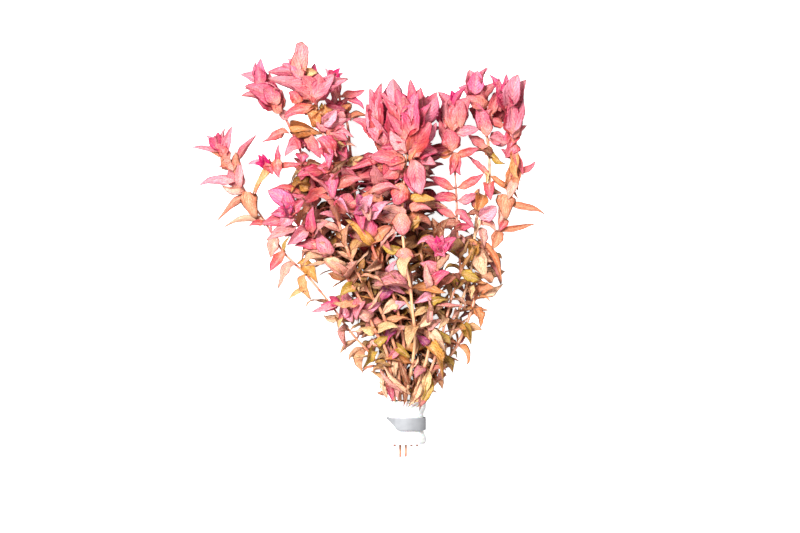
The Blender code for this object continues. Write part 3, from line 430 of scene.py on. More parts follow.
def levelTurn(leaf, side, ahead):    # how far a blade turns so that a face looks up
    across = (side - ahead * side.dot(ahead)).normalized()
    face = ahead.cross(across)
    sky = (skyward - ahead * skyward.dot(ahead)).normalized()
    toward = leaf["lean"] if abs(face.dot(sky)) < 0.5 else math.copysign(1, face.dot(sky))
    upward = sky * toward
    return math.atan2(ahead.dot(face.cross(upward)), face.dot(upward)) * leaf["flop"]


def solidHalfWidth(leaf, s):
    widest, fullness = growth["outline"]
    return leaf["width"] / 2 * math.sin(math.pi * held(s) ** widest) ** fullness


def midrib(leaf):    # (point, direction, side, normal) along the leaf
    out, spine = archingSpine(leaf) if "tip" in leaf else droopingSpine(leaf)
    side = leaf["stem"].cross(out)
    steps = growth["steps"]
    turn = levelTurn(leaf, side, spine[steps // 2][1])
    places = []
    for i, (place, ahead) in enumerate(spine):
        twist = Matrix.Rotation(turn * eased(i / steps / growth["rings"][0]), 3, ahead)
        across = twist @ (side - ahead * side.dot(ahead)).normalized()
        face = ahead.cross(across)
        room = solidHalfWidth(leaf, i / steps) * abs(across.z)
        room += leaf["thickness"] / 2 * abs(face.z)
        resting = place.copy()
        resting.z = max(place.z, room)
        places.append((resting, ahead, across, face))
    return places


def alongRib(places, s):    # the midrib's values at any place
    k = held(s) * growth["steps"]
    i = min(int(k), growth["steps"] - 1)
    return [a.lerp(b, k - i) for a, b in zip(places[i], places[i + 1])]


def solidRings(leaf, margin=0.0, root=None):    # the corners of the leaf's solid
    grown = dict(leaf, width=leaf["width"] + 2 * margin)
    thick = leaf["thickness"] / 2 + margin
    fold = math.radians(leaf["fold"])
    places = midrib(leaf)
    root = growth["rootDepth"] / leaf["length"] if root is None else root
    middle = growth["rings"] if leaf["length"] > growth["shortLeaf"] else growth["shortRings"]
    rings = [[alongRib(places, root)[0]]]
    for s in middle:
        centre, _, side, face = alongRib(places, s)
        reach = solidHalfWidth(grown, s)
        ring = []
        for across, lift in ((-1, 1), (0, -1), (1, 1)):
            rise = abs(across) * reach * math.sin(fold) + lift * thick
            ring.append(centre + side * across * reach * math.cos(fold) + face * rise)
        rings.append(ring)
    rings.append([places[-1][0] + places[-1][1] * margin])
    for ring in rings:
        sunk = min(0, min(corner.z for corner in ring))
        for corner in ring:
            corner.z -= sunk
    return rings


def posed(leaf, spread, turn, share):
    tried = dict(leaf)
    if "tip" in leaf:
        tried["tip"] = leaf["base"].lerp(leaf["tip"], share) + skyward * spread * growth["raise"]
    else:
        tried["spread"] = held(leaf["spread"] + spread, *growth["spreadLimits"])
        tried["round"] = leaf["round"] + turn
    tried["length"] = leaf["length"] * share
    tried["width"] = leaf["width"] * (0.3 + 0.7 * share)
    return tried


# The leaves that the solids have

def drawnLeaf(name, place, base, stem, tip, width, age):
    tip = Vector(tip)
    return {
        "base": base,
        "stem": stem,
        "tip": tip,
        "length": (tip - base).length * 1.05,
        "width": growth["drawnWidening"] * width,
        "thickness": growth["thickness"],
        "fold": varied(growth["fold"], name, place, 6),
        "flop": varied(growth["drawnFlop"], name, place, 7),
        "lean": math.copysign(1, jitter(name, place, 8) + 0.2),
        "age": age,
    }


def crownLeaves(name):
    stem, aim, route = stems[name], aimOf(name), routes[name]
    foot = route.point(route.length) + aim * (2 * growth["gap"])
    return [
        drawnLeaf(name, 100 + i, foot + aim * rise * stem["size"], aim, tip, width,
                  0.12 - 0.016 * rise)
        for i, (tip, width, rise) in enumerate(stem["crown"])
    ]


def ageAt(down):    # 0 at the crown, 1 where the leaves are oldest
    return min(1.0, 0.14 + 0.86 * down / growth["leafOldAt"])


def grownLeaf(name, place, base, direction, spin, down):
    age = min(1.0, down / growth["leafOldAt"])
    size = stems[name]["size"]
    spread = mix(*growth["spread"], age)
    return {
        "base": base,
        "stem": direction,
        "round": spin + varied(growth["turnError"], name, place, 1),
        "spread": spread + varied(growth["spreadError"], name, place, 2),
        "length": mix(*growth["length"], age) * size * varied(growth["lengthShare"], name, place, 3),
        "width": mix(*growth["width"], age) * size * varied(growth["widthShare"], name, place, 4),
        "thickness": growth["thickness"],
        "curl": varied(growth["curl"], name, place, 5),
        "fold": varied(growth["fold"], name, place, 6),
        "flop": varied(growth["flop"], name, place, 7),
        "lean": math.copysign(1, jitter(name, place, 8) + 0.2),
        "droop": varied(growth["droop"], name, place, 9),
        "age": ageAt(down),
    }


def stemLeaves(name):
    stem, route = stems[name], routes[name]
    drawn, leaves = stem.get("drawn", ()), []
    for place, (down, tip, width) in enumerate(drawn):
        distance = route.length - down
        base, direction = route.point(distance), route.direction(distance)
        leaves.append(drawnLeaf(name, 200 + place, base, direction, tip, width, ageAt(down)))
    for pair, distance in enumerate(pairPlaces(name)):
        down = route.length - distance
        if any(abs(down - other) < growth["pairSpacing"][0] / 2 for other, _, _ in drawn):
            continue
        base, direction = route.point(distance), route.direction(distance)
        for half in (0, 1):
            spin = stem["spin"] + 90 * (pair + 1) + 180 * half
            leaves.append(grownLeaf(name, 2 * pair + half, base, direction, spin, down))
    return leaves


def nodeCorners(node):    # a quick search among the corners of a solid
    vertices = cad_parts[node].data.vertices
    corners = KDTree(len(vertices))
    for i, vertex in enumerate(vertices):
        corners.insert(inDrawing(vertex.co), i)
    corners.balance()
    return corners


def leafOfSolid(leaf, corners, widths):    # the leaf in the pose that the solid has, or nothing
    best, least = None, 1e9
    for width in widths:
        for pose in leafPoses:
            tried = posed(dict(leaf, width=leaf["width"] * width), *pose)
            rings = solidRings(tried)
            if corners.find(rings[-1][0])[2] > growth["tolerance"]:
                continue
            off = sum(corners.find(corner)[2] for ring in rings[1:-1] for corner in ring)
            if off < least:
                best, least = tried, off
    return best


# Keeping added leaves clear of what is there

def treeOf(points, faces):
    low = Vector([min(p[k] for p in points) for k in range(3)])
    high = Vector([max(p[k] for p in points) for k in range(3)])
    return low, high, BVHTree.FromPolygons(points, faces)


def leafTree(leaf, margin=0.0):
    rings = solidRings(leaf, margin, growth["rootFree"])
    points = [corner for ring in rings for corner in ring]
    last = len(points) - 1
    faces = []
    for start in range(1, last - 3, 3):
        faces += [(start + k, start + (k + 1) % 3, start + 3 + (k + 1) % 3, start + 3 + k)
                  for k in range(3)]
    faces += [(0, 1 + (k + 1) % 3, 1 + k) for k in range(3)]
    faces += [(last, last - 3 + k, last - 3 + (k + 1) % 3) for k in range(3)]
    return treeOf(points, faces)


def isClear(tree, placed):
    low, high, shape = tree
    for otherLow, otherHigh, other in placed:
        if any(low[k] > otherHigh[k] or high[k] < otherLow[k] for k in range(3)):
            continue
        if shape.overlap(other):
            return False
    return True


def tubeTree(route, radius=0.9, sides=6):
    points, faces = [], []
    for i, place in enumerate(route.path):
        ahead = route.direction(route.marks[i])
        for k in range(sides):
            points.append(place + outward(ahead, 360 / sides * k) * radius)
    for i in range(len(route.path) - 1):
        for k in range(sides):
            a, b = sides * i + k, sides * i + (k + 1) % sides
            faces.append((a, b, b + sides, a + sides))
    return treeOf(points, faces)


def hidesStem(leaf):    # whether a leaf lies over a stem that is seen
    points = [point for point, _, _, _ in midrib(leaf)[2:]]
    for name, stem in stems.items():
        if "openBeside" not in stem:
            continue
        for point in points:
            near = min(smoothRoutes[name].path[::3], key=lambda p: (p - point).xy.length_squared)
            if (near - point).xy.length < stem["openBeside"] and point.z > near.z:
                return True
    return False


# Leaves added to the older stems

# Those that stand out at the sides. Length, width and spread go from young to old leaves, and the
# other pairs are the least and the most, but for round.
beside = {
    "every": 4.4,
    "from": 20,              # below the crown
    "length": (18, 16),
    "width": (6.4, 4.6),
    "lengthShare": (0.55, 1.25),
    "widthShare": (0.6, 1.25),
    "spread": (50, 36),
    "spreadReach": 38,
    "round": (0, 70),        # usual place round the stem, 90 is on top of it, and the reach
    "curl": (-70, 120),
    "flop": (-0.35, 0.85),
    "tries": 12,
    "onLowStem": 1.2,
    "seed": "beside",
}

# Leaves underneath the dense stems, whose dark tones paint shade into the gaps between the leaves above
under = {
    "every": 5.5,
    "from": 8,
    "length": (23, 18),
    "width": (9.5, 7),
    "lengthShare": (0.8, 1.15),
    "widthShare": (0.8, 1.15),
    "spread": (52, 46),
    "spreadReach": 22,
    "round": (-38, 34),
    "curl": (-30, 70),
    "flop": (0.3, 0.9),
    "tries": 10,
    "onLowStem": 1,
    "tones": (0.6, 0.7),
    "seed": "under",
}

# What both have
filling = {
    "lowStem": 17,           # millimetres above the table
    "youngerThan": 0.8,      # age up to which leaves on a low stem are larger
    "clearOfFoam": 2,
    "upright": (0.4, 32),    # least share of the spread, and over what length above the foam
    "lastTry": 0.6,          # share of its length that a leaf has on its last try
    "widest": 0.5,           # share of its length
    "thickness": 0.5,
    "fold": (4, 24),
    "droop": (0.0, 0.6),
    "paleness": (0.1, 0.5),
    "keepOff": 0.1,
    "uneven": (0.7, 1.3),    # share of the usual distance
}


def addedLeaves(name, placed, filler):    # leaves that fill the bare runs of a stem
    chance = random.Random(filler["seed"] + name)
    route, gaps = routes[name], stems[name].get("gaps", 1)
    lowest = leaflessFoot(name, filling["clearOfFoam"])
    found, down = [], filler["from"] * stems[name]["size"] * gaps
    while route.length - down > lowest:
        age = min(1.0, down / growth["leafOldAt"])
        base, direction = route.point(route.length - down), route.direction(route.length - down)
        young = age < filling["youngerThan"]
        larger = filler["onLowStem"] if base.z < filling["lowStem"] and young else 1
        middle, reach = filler["round"]
        least, run = filling["upright"]
        closing = mix(least, 1, eased((route.length - down - lowest) / run))
        usual = mix(*filler["spread"], age) * closing
        for half in (0, 1):
            for trial in range(filler["tries"]):
                share = mix(1.0, filling["lastTry"], trial / filler["tries"])
                length = mix(*filler["length"], age) * chance.uniform(*filler["lengthShare"]) * share
                length *= larger
                around = middle + chance.uniform(-reach, reach)
                leaf = {
                    "base": base,
                    "stem": direction,
                    "round": 180 - around if half else around,
                    "spread": usual + chance.uniform(-1, 1) * filler["spreadReach"] * closing,
                    "length": length,
                    "width": mix(*filler["width"], age) * chance.uniform(*filler["widthShare"]) * larger,
                    "thickness": filling["thickness"],
                    "curl": chance.uniform(*filler["curl"]),
                    "fold": chance.uniform(*filling["fold"]),
                    "flop": chance.uniform(*filler["flop"]),
                    "lean": chance.choice((-1, 1)),
                    "droop": chance.uniform(*filling["droop"]),
                    "age": ageAt(down),
                    "small": True,
                }
                if "tones" in filler:
                    leaf["tones"], leaf["paleness"] = filler["tones"], chance.uniform(*filling["paleness"])
                leaf["width"] = min(leaf["width"], length * filling["widest"])
                if isClear(leafTree(leaf, filling["keepOff"]), placed):
                    placed.append(leafTree(leaf))
                    found.append(leaf)
                    break
        down += filler["every"] * gaps * chance.uniform(*filling["uneven"])
    return found


# Meshes

def newObject(name, data):
    made = bpy.data.objects.new(name, data)
    bpy.context.scene.collection.objects.link(made)
    return made


class Piece:
    # Points, faces and the values that the materials read, gathered for one mesh

    def __init__(self):
        self.points = []
        self.faces = []
        self.blade = []      # along, across, underside
        self.tone = []       # age, tone, paleness
        self.depth = []      # how far other leaves cover the point, painted into the leaf's colour as shade
        self.slots = []

    def add(self, points, faces, blade, tone, slot, depth=None):
        start = len(self.points)
        self.points += points
        self.faces += [tuple(start + i for i in face) for face in faces]
        self.blade += blade
        self.tone += [tone] * len(points)
        self.depth += depth or [0.0] * len(points)
        self.slots += [slot] * len(faces)

    def build(self, name, materials):
        mesh = bpy.data.meshes.new(name)
        mesh.from_pydata([inFrame(p) for p in self.points], [], self.faces)
        for made in materials:
            mesh.materials.append(made)
        mesh.polygons.foreach_set("material_index", self.slots)
        mesh.polygons.foreach_set("use_smooth", [True] * len(self.faces))
        for label, values in (("blade", self.blade), ("tone", self.tone)):
            layer = mesh.attributes.new(label, "FLOAT_VECTOR", "POINT")
            layer.data.foreach_set("vector", [x for value in values for x in value])
        # how far other leaves cover each point, which the leaf material paints as shade
        mesh.attributes.new("paintedCoverShade", "FLOAT", "POINT").data.foreach_set("value", self.depth)
        shell = bmesh.new()
        shell.from_mesh(mesh)
        bmesh.ops.recalc_face_normals(shell, faces=shell.faces)
        shell.to_mesh(mesh)
        shell.free()
        return newObject(name, mesh)

    def triangles(self):
        return sum(len(face) - 2 for face in self.faces)


blade = {
    "rows": 16,
    "columns": (-1, -0.76, -0.44, -0.14, 0, 0.14, 0.44, 0.76, 1),
    "smallRows": 12,
    "smallColumns": (-1, -0.7, -0.2, 0, 0.2, 0.7, 1),
    "thickness": 0.34,
    "marginThickness": 0.12,
    "tipThickness": (6, 0.15),         # how fast a blade thins to its tip, and what is left
    "rootThickness": (1.2, 8),         # how much thicker its root is, and how fast that ends
    "groove": (0.18, 0.12),            # depth and width of the midrib's groove
    "ragged": (0.06, 17),
    "hookRun": (0.66, 0.34),           # where the tip starts to bend, and over what length
    "tipSwayRun": (0.7, 0.3),
    "usualLength": 20,
    "paintedShadeAt": (0.25, 0.6, 0.95),      # where along a leaf its cover by other leaves is measured, for the painted shade
    "lowest": 0.1,
    "heartAge": 0.13,
    "heartTones": (0, 0.38),
    "youngTones": (0.2, 0.5),
    "oldAge": 0.3,
    "oldTones": (0, 1),
    # from young to old leaves, each with its least and most
    "wave": ((0.15, 0.7), (0.2, 1.0)),     # height of the ripples along the margins
    "waveCount": ((2.2, 4.5), (1.5, 3.5)),
    "cup": ((-0.3, 0.5), (-0.5, 1.3)),     # how far the margins turn down or up
    "fold": ((6, 24), (4, 36)),
    "twist": ((-28, 28), (-95, 95)),
    "hook": ((-0.6, 2.6), (-1.0, 2.6)),    # how far the tip curls under
    "sway": ((-0.9, 0.9), (-1.6, 1.6)),
    "tipSway": ((-1.4, 1.4), (-1.8, 1.8)),
    "wider": ((0.8, 1.05), (0.7, 1.05)),
    "widest": ((0.8, 1.02), (0.62, 0.8)),  # higher where the blade is widest nearer its tip
    "pointed": ((0.05, 0.3), (0.1, 0.4)),
    "blunt": ((0.75, 0.75), (0.75, 0.75)),
}


def formOf(leaf, chance):    # the small things that make this leaf unlike the next
    age, form = leaf["age"], {}
    for label in ("wave", "waveCount", "cup", "fold", "twist", "hook", "sway", "tipSway", "wider",
                  "widest", "pointed", "blunt"):
        young, old = blade[label]
        form[label] = chance.uniform(mix(young[0], old[0], age), mix(young[1], old[1], age))
        form[label] = leaf.get("form", {}).get(label, form[label])
    return form


def addBlade(piece, leaf, seed, rootShift=Vector()):    # one leaf as a thin closed blade
    chance = random.Random(seed)
    places = midrib(leaf)
    rows, columns = blade["rows"], blade["columns"]
    if leaf.get("small"):
        rows, columns = blade["smallRows"], blade["smallColumns"]
    form = formOf(leaf, chance)
    size = leaf["length"] / blade["usualLength"]
    phases = (chance.uniform(0, 6), chance.uniform(0, 6))
    fold = math.radians(leaf["fold"] + form["fold"])
    age = leaf["age"] + leaf.get("aged", 0)
    usual = blade["heartTones"] if leaf["age"] < blade["heartAge"] else blade["youngTones"]
    if age > blade["oldAge"]:
        usual = blade["oldTones"]
    tones = leaf.get("tones", usual)
    paleness = leaf.get("paleness", mix(leaf.get("bleached", 0), 1, chance.random()))
    tone = (min(1.0, age), chance.uniform(*tones), paleness)

    def halfWidth(s):
        s = held(s)
        oval = max(math.sin(math.pi * s ** form["widest"]), 0.0) ** form["blunt"]
        tapered = 1 - form["pointed"] * eased((s - 0.55) / 0.45)
        depth, count = blade["ragged"]
        ragged = 1 + depth * math.sin(count * s + phases[0])
        return form["wider"] * leaf["width"] / 2 * oval * tapered * ragged

    def bend(s, label):    # grows towards the tip
        start, run = blade[label]
        return max(0, (s - start) / run) ** 2

    def pointAt(s, across, lift):
        centre, ahead, side, face = alongRib(places, s)
        turn = math.radians(form["twist"]) * eased(s / 1.2)
        side, face = (side * math.cos(turn) + face * math.sin(turn),
                      face * math.cos(turn) - side * math.sin(turn))
        reach = abs(across) * halfWidth(s)
        full = max(halfWidth(s), 0.01)
        rise = reach * math.sin(fold) + form["cup"] * reach * reach / full * math.sin(math.pi * s)
        ripple = math.sin(form["waveCount"] * math.tau * s + phases[across > 0])
        rise += form["wave"] * size * ripple * across**2 * math.sin(math.pi * s)
        rise -= form["hook"] * size * bend(s, "hookRun")
        thick = mix(blade["thickness"], blade["marginThickness"], abs(across) ** 1.5) / 2
        thinning, left = blade["tipThickness"]
        thicker, ends = blade["rootThickness"]
        thick *= min(1, thinning * (1 - s) + left) * (1 + thicker * max(0, 1 - s * ends))
        deep, wide = blade["groove"]
        dip = deep * math.exp(-(across / wide) ** 2) * math.sin(math.pi * s)
        centre = centre + side * (math.copysign(reach, across) * math.cos(fold))
        centre += side * size * form["sway"] * math.sin(math.tau * s) * 0.5
        centre += side * size * form["tipSway"] * bend(s, "tipSwayRun")
        centre += rootShift * (1 - s) ** 2 + face * (rise - dip + lift * thick)
        centre.z = max(centre.z, blade["lowest"] + thick * (1 + lift))
        return centre

    points, values, index = [pointAt(0, 0, 0)], [(0, 0, 0)], {}
    for row in range(1, rows):
        s = row / rows
        for lift in (1, -1):
            for k, across in enumerate(columns):
                atMargin = k in (0, len(columns) - 1)
                if lift < 0 and atMargin:
                    index[row, k, lift] = index[row, k, 1]
                    continue
                index[row, k, lift] = len(points)
                points.append(pointAt(s, across, 0 if atMargin else lift))
                values.append((s, across, 0 if lift > 0 else 1))
    tip = len(points)
    points.append(pointAt(1, 0, 0))
    values.append((1, 0, 0))
    faces = []
    for lift in (1, -1):
        for k in range(len(columns) - 1):
            ends = (index[1, k, lift], index[1, k + 1, lift])
            faces.append((0, *ends) if lift < 0 else (0, *ends[::-1]))
            ends = (index[rows - 1, k, lift], index[rows - 1, k + 1, lift])
            faces.append((tip, *ends[::-1]) if lift < 0 else (tip, *ends))
            for row in range(1, rows - 1):
                quad = (index[row, k, lift], index[row, k + 1, lift],
                        index[row + 1, k + 1, lift], index[row + 1, k, lift])
                faces.append(quad if lift > 0 else quad[::-1])
    # how far other leaves cover this one along its length, for the painted shade
    first, second, _ = blade["paintedShadeAt"]
    coverShades, depth = [paintedCoverShadeAt(alongRib(places, s)[0]) for s in blade["paintedShadeAt"]], []
    for along, _, _ in values:
        k = held((along - first) / (second - first), 0.0, 1.999)
        depth.append(mix(coverShades[int(k)], coverShades[int(k) + 1], k - int(k)))
    piece.add(points, faces, values, tone, 0, depth)


stalk = {
    "radius": 1.02,
    "sideShootShare": 0.75,
    "tipTaper": 0.72,
    "sides": 10,
    "step": 1.4,
    "swelling": 0.22,         # how much thicker a stem is where leaves grow
    "swellingLength": 1.8,
    "cutShare": 0.66,         # how thin the cut ends are
    "cutRun": (9, 10),        # where they start to thicken, and over what length
    "uneven": 0.05,
    "crownRun": 3,            # how far it runs on inside the crown
}


def addStalk(piece, path, radiusAt, ageAtMark, redAt, paleness):    # a stem as a closed tube
    route = Route(path)
    count = max(3, round(route.length / stalk["step"]))
    sides = stalk["sides"]
    points, values, faces = [], [], []
    ahead = route.direction(0)
    side = outward(ahead, 0)
    for i in range(count + 1):
        mark = route.length * i / count
        ahead = route.direction(mark)
        side = (side - ahead * side.dot(ahead)).normalized()
        across = ahead.cross(side)
        for k in range(sides):
            turn = math.tau * k / sides
            radius = radiusAt(mark) * (1 + stalk["uneven"] * math.cos(3 * turn + mark * 0.11))
            points.append(route.point(mark) + (side * math.cos(turn) + across * math.sin(turn)) * radius)
            values.append((ageAtMark(mark), k / sides, redAt(mark)))
    for i in range(count):
        for k in range(sides):
            a, b = i * sides + k, i * sides + (k + 1) % sides
            faces.append((a, b, b + sides, a + sides))
    for start, mark, inward in ((0, 0, 1), (count * sides, route.length, -1)):
        centre = len(points)
        points.append(route.point(mark) + route.direction(mark) * 0.15 * inward)
        values.append((ageAtMark(mark), 0.5, 1))
        faces += [(centre, start + k, start + (k + 1) % sides) for k in range(sides)]
    piece.add(points, faces, values, (0.5, 0.5, paleness), 1)


# What a leaf given one by one can look like: (age, tone, paleness)
leafColours = {
    "pink": (0.16, 0.0, 0.62), "rose": (0.16, 0.22, 0.5), "salmonPink": (0.16, 0.28, 0.62),
    "coral": (0.16, 0.42, 0.5), "peach": (0.18, 0.56, 0.7), "palePink": (0.16, 0.04, 0.88),
    "cream": (0.18, 0.56, 1.0), "darkRed": (0.18, 0.66, 0.3), "hotPink": (0.15, 0.76, 0.5),
    "magenta": (0.0, 0.0, 0.3), "orchid": (0.15, 0.86, 0.62), "lilac": (0.15, 0.93, 0.85),
    "purple": (0.15, 1.0, 0.55), "white": (0.15, 0.93, 1.0), "tan": (0.8, 0.56, 0.8),
    "orange": (0.8, 0.78, 0.45), "gold": (0.8, 0.28, 0.6), "olive": (0.8, 0.42, 0.6),
    "rust": (0.8, 0.12, 0.5), "salmon": (0.8, 0.9, 0.6), "crimson": (0.17, 0.14, 0.25),
    "mauve": (0.8, 0.0, 0.75), "brown": (0.8, 0.66, 0.5), "oldPeach": (0.8, 0.98, 0.7),
    "dark": (0.8, 0.66, 0.12), "dustyPink": (0.22, 0.2, 0.85), "ochre": (0.8, 0.17, 0.3),
    "apricot": (0.8, 0.1, 0.62),
}

# Forms of leaves given one by one; what a form leaves out is as in usualForm or by chance
usualForm = {"wider": 1.3, "blunt": 0.68}
rounded = {"pointed": 0.0, "widest": 1.1, "hook": 0.6, "tipSway": 0.0}
strap = {"pointed": 0.0, "widest": 0.95, "blunt": 0.26, "hook": 1.5, "tipSway": 1.2, "sway": 0.6,
         "twist": 0, "cup": 0.3, "fold": 0}
spoon = {"pointed": 0.1, "widest": 0.95, "hook": 2.2, "cup": -0.5, "fold": -6, "twist": 0}

# Leaves given one by one: x, y, z of base and tip, width, colour, and the way it sets out or a form
# if it is unusual
crownPortraits = {}
crownPortraits["01"] = (
    (-89, 61, 17, -95, 69, 20, 5, "magenta"), (-88, 61, 17, -89.5, 72, 21, 5, "magenta"),
    (-89, 62, 18, -91, 70, 23, 4, "hotPink"), (-89, 61, 16, -97, 71, 17, 3, "lilac"),
    (-84, 56, 17, -90, 65, 20, 6, "coral"), (-83, 56, 16, -86, 66, 18, 4, "crimson"),
    (-83, 57, 16, -81.5, 76, 19, 5.5, "palePink"), (-84, 58, 17, -86, 75, 19, 4, "palePink"),
    (-86, 60, 15, -107, 64.5, 14, 3, "palePink", (-0.9, 0.2, 0)),
    (-86, 57, 15, -95, 60, 16, 3, "apricot"), (-78, 52, 14, -66, 70.5, 15, 3.8, "crimson", (0, 1, 0.1)),
    (-81, 49, 14, -89, 57, 17, 6.5, "apricot"), (-80, 49, 15, -83, 60, 19, 6, "salmon"),
    (-78, 47, 14, -78, 60, 17, 5.5, "apricot"), (-80, 48, 13, -90, 51.5, 15, 4.6, "peach"),
    (-76, 39, 13, -84, 50, 16, 8.5, "palePink"), (-75, 38, 13, -77, 56, 15, 4.6, "cream"),
)
crownPortraits["02"] = (
    (-43, 26, 34, -59, 36.5, 38, 9, "orchid", rounded), (-43, 24, 34, -57, 21, 38, 8, "pink"),
    (-45, 22, 38, -50, 31, 43, 5, "purple"), (-46, 23, 39, -43, 29.5, 43, 4, "hotPink"),
    (-44, 23, 37, -37, 31, 41, 6, "rose"), (-44, 21, 34, -53, 12, 36, 7, "palePink"),
    (-47, 23, 39, -53, 26, 43, 4, "hotPink"), (-45, 24, 36, -47, 37, 39, 7, "pink"),
    (-41, 20, 32, -63, 15.5, 31, 7, "salmonPink", (-0.9, 0.1, 0.2)),
    (-31, 9, 31, -33, 27, 37, 6, "pink", (-0.3, 0.9, 0.2)), (-36, 12, 30, -47, 3, 31, 7, "palePink"),
)
crownPortraits["03"] = (
    (-52, 85, 18, -74, 99.5, 21, 11, "pink"), (-52, 85, 17, -66, 103, 20, 10, "palePink"),
    (-55, 85, 16, -77, 95, 16, 6.5, "salmonPink"), (-54, 84, 13, -67, 91, 12, 8, "darkRed"),
    (-52, 83, 18, -56, 98.5, 25, 8, "coral"), (-51, 84, 19, -51, 97.5, 22, 6, "coral"),
    (-62, 99, 18, -63.5, 116, 21, 6, "orchid"), (-63, 99, 18, -68, 114, 20, 5, "orchid"),
    (-64, 101, 17, -76.5, 106, 18, 5, "palePink"), (-63, 99, 20, -65, 111, 24, 6.5, "hotPink"),
    (-49, 79, 15, -53, 87, 17, 4.5, "cream"), (-54, 88, 21, -62, 99, 25, 8, "pink"),
    (-52, 84, 14, -60, 108, 16, 9, "rose"),
)
crownPortraits["04"] = (
    (-32, 89, 28, -59, 101, 32, 9, "palePink"), (-31, 89, 29, -48, 102, 35, 9.5, "palePink"),
    (-31, 88, 30, -38, 105, 38, 11, "salmonPink"), (-30, 88, 30, -27, 105, 38, 11, "salmonPink"),
    (-30, 88, 31, -19, 104.5, 36, 9, "palePink"), (-31, 90, 26, -46, 104, 29, 10, "pink"),
    (-30, 89, 29, -11, 103.5, 33, 9, "palePink"), (-30, 87, 30, -17, 98.5, 35, 7, "pink"),
    (-41, 87, 27, -46.5, 96, 28, 6.5, "coral"), (-33, 88, 29, -43, 96, 36, 8, "salmonPink"),
    (-40.5, 98, 28, -37.5, 125, 31, 8, "peach", strap), (-40, 102, 30, -59.5, 106.5, 31, 8.5, "pink"),
    (-41, 101, 30, -51, 112, 31, 7, "orchid"), (-42, 102, 27, -47, 116, 28, 6.5, "lilac"),
    (-38, 104, 27, -29, 107, 28, 6, "tan"), (-31, 86, 27, -50, 80, 28, 6, "coral", (-0.85, 0.1, 0.2)),
    (-33, 89, 22, -44, 88, 22, 7, "darkRed", (-0.8, 0.1, 0.0)),
    (-29, 85, 26, -38, 82, 27, 5.5, "rust", (-0.8, 0.2, 0.2)),
    (-29, 85, 26, -23, 75, 27, 7, "orange", (0.5, -0.3, 0.2)),
    (-29, 86, 25, -24, 82, 26, 5, "olive", (0.8, 0.2, 0.1)),
)
crownPortraits["05"] = (
    (-20, 101, 15, -22.5, 110, 19, 5, "magenta"), (-19, 101, 15, -17, 111, 19, 5, "magenta"),
    (-20, 102, 16, -14.5, 108, 18, 3.5, "orchid"), (-20, 101, 17, -20, 108, 21, 4, "hotPink"),
    (-21, 102, 15, -25.5, 111.5, 15, 2.6, "lilac"), (-21, 103, 14, -25, 105.5, 15, 2.6, "tan"),
    (-18, 90, 14, -20, 104, 15, 5, "rose"), (-18, 80, 15, -26, 93, 18, 5.5, "rose"),
    (-18, 80, 14, -20, 96, 18, 4.5, "darkRed"), (-17, 82, 14, -10, 94, 15, 4.5, "darkRed"),
    (-17, 78, 15, -9, 90, 18, 5, "rust"), (-16, 76, 15, -25, 86, 20, 5, "coral"),
    (-18, 94, 15, -1, 97.5, 16, 4, "salmonPink", (0.95, 0.1, 0.05)),
    (-15, 92, 14, -1, 87, 15, 4, "pink", (0.9, 0.0, 0.1)),
    (-13, 80, 19, -26, 78, 22, 7, "palePink", (-0.8, 0.2, 0.2)),
)
crownPortraits["06"] = (
    (-2, 26, 38, -6, 34, 45, 6.5, "purple"), (-1, 26, 38, 3.5, 34, 44, 6.5, "lilac"),
    (-1, 25, 38, -8, 22, 43, 6, "purple"), (0, 25, 38, 2, 17.5, 42, 6, "mauve"),
    (2, 20, 36, 13, 30.5, 41, 6, "lilac"), (-2, 24, 39, -1, 29, 48, 5, "white"),
    (0, 34, 36, 19, 39, 38, 6, "salmonPink", (0.8, 0.4, 0.1)), (0, 26, 38, 7, 24, 43, 5, "orchid"),
    (-2, 26, 38, -11, 29, 41, 5, "mauve"),
)
crownPortraits["07"] = (
    (10, 59, 22, -1.5, 84, 25, 9, "palePink"), (8, 64, 22, 6.5, 101.5, 26, 9, "rose", (-0.25, 0.95, 0.1)),
    (6, 76, 24, 1, 98, 26, 6.5, "palePink"), (6, 64, 21, -9, 81, 22, 7.5, "salmonPink"),
    (9, 60, 20, 14, 80, 16, 9, "darkRed"), (9, 58, 18, 11, 92, 14, 9, "darkRed"),
    (8, 68, 23, 9, 92, 27, 6, "pink"), (7, 62, 18, 0, 90, 15, 9, "rose"),
    (9, 70, 16, 6, 88, 8, 9, "darkRed"),
)
crownPortraits["08"] = (
    (24, 59, 31, 37.5, 77.5, 36, 11.5, "coral", (0.6, 0.5, 0.3)), (20, 62, 26, 12, 86, 24, 11, "rose"),
    (22, 62, 24, 17, 90, 21, 11, "crimson"), (27, 64, 25, 34, 91, 24, 11, "rose"),
    (18, 60, 27, 8, 74, 28, 8, "rose"), (24, 59, 31, 13, 72, 34, 8, "cream", (-0.6, 0.5, 0.3)),
    (22, 64, 31, 11.5, 82, 35, 7, "pink"), (22, 66, 31, 21, 93, 38, 10, "salmonPink"),
    (17, 84, 31, 15, 103, 33, 9, "lilac", rounded), (26, 64, 31, 29, 96, 37, 10, "pink"),
    (25, 75, 31, 24.5, 102.5, 36, 7, "rose", (0.3, 0.9, 0.15)),
    (29, 72, 31, 42.5, 93.5, 34, 9, "orchid", (0.5, 0.8, 0.1)), (31, 70, 31, 38, 88, 33, 8, "pink"),
    (20, 70, 30, 9, 92, 31, 7, "crimson"), (19, 72, 30, 8, 97, 28, 7, "rose"),
    (24, 66, 26, 25, 92, 22, 11, "crimson"), (30, 64, 29, 41.5, 77, 31, 5, "orchid", (0.8, 0.3, 0.1)),
    (20, 82, 35, 17, 97, 38, 7, "hotPink"), (24, 68, 22, 30, 90, 12, 11, "crimson"),
)
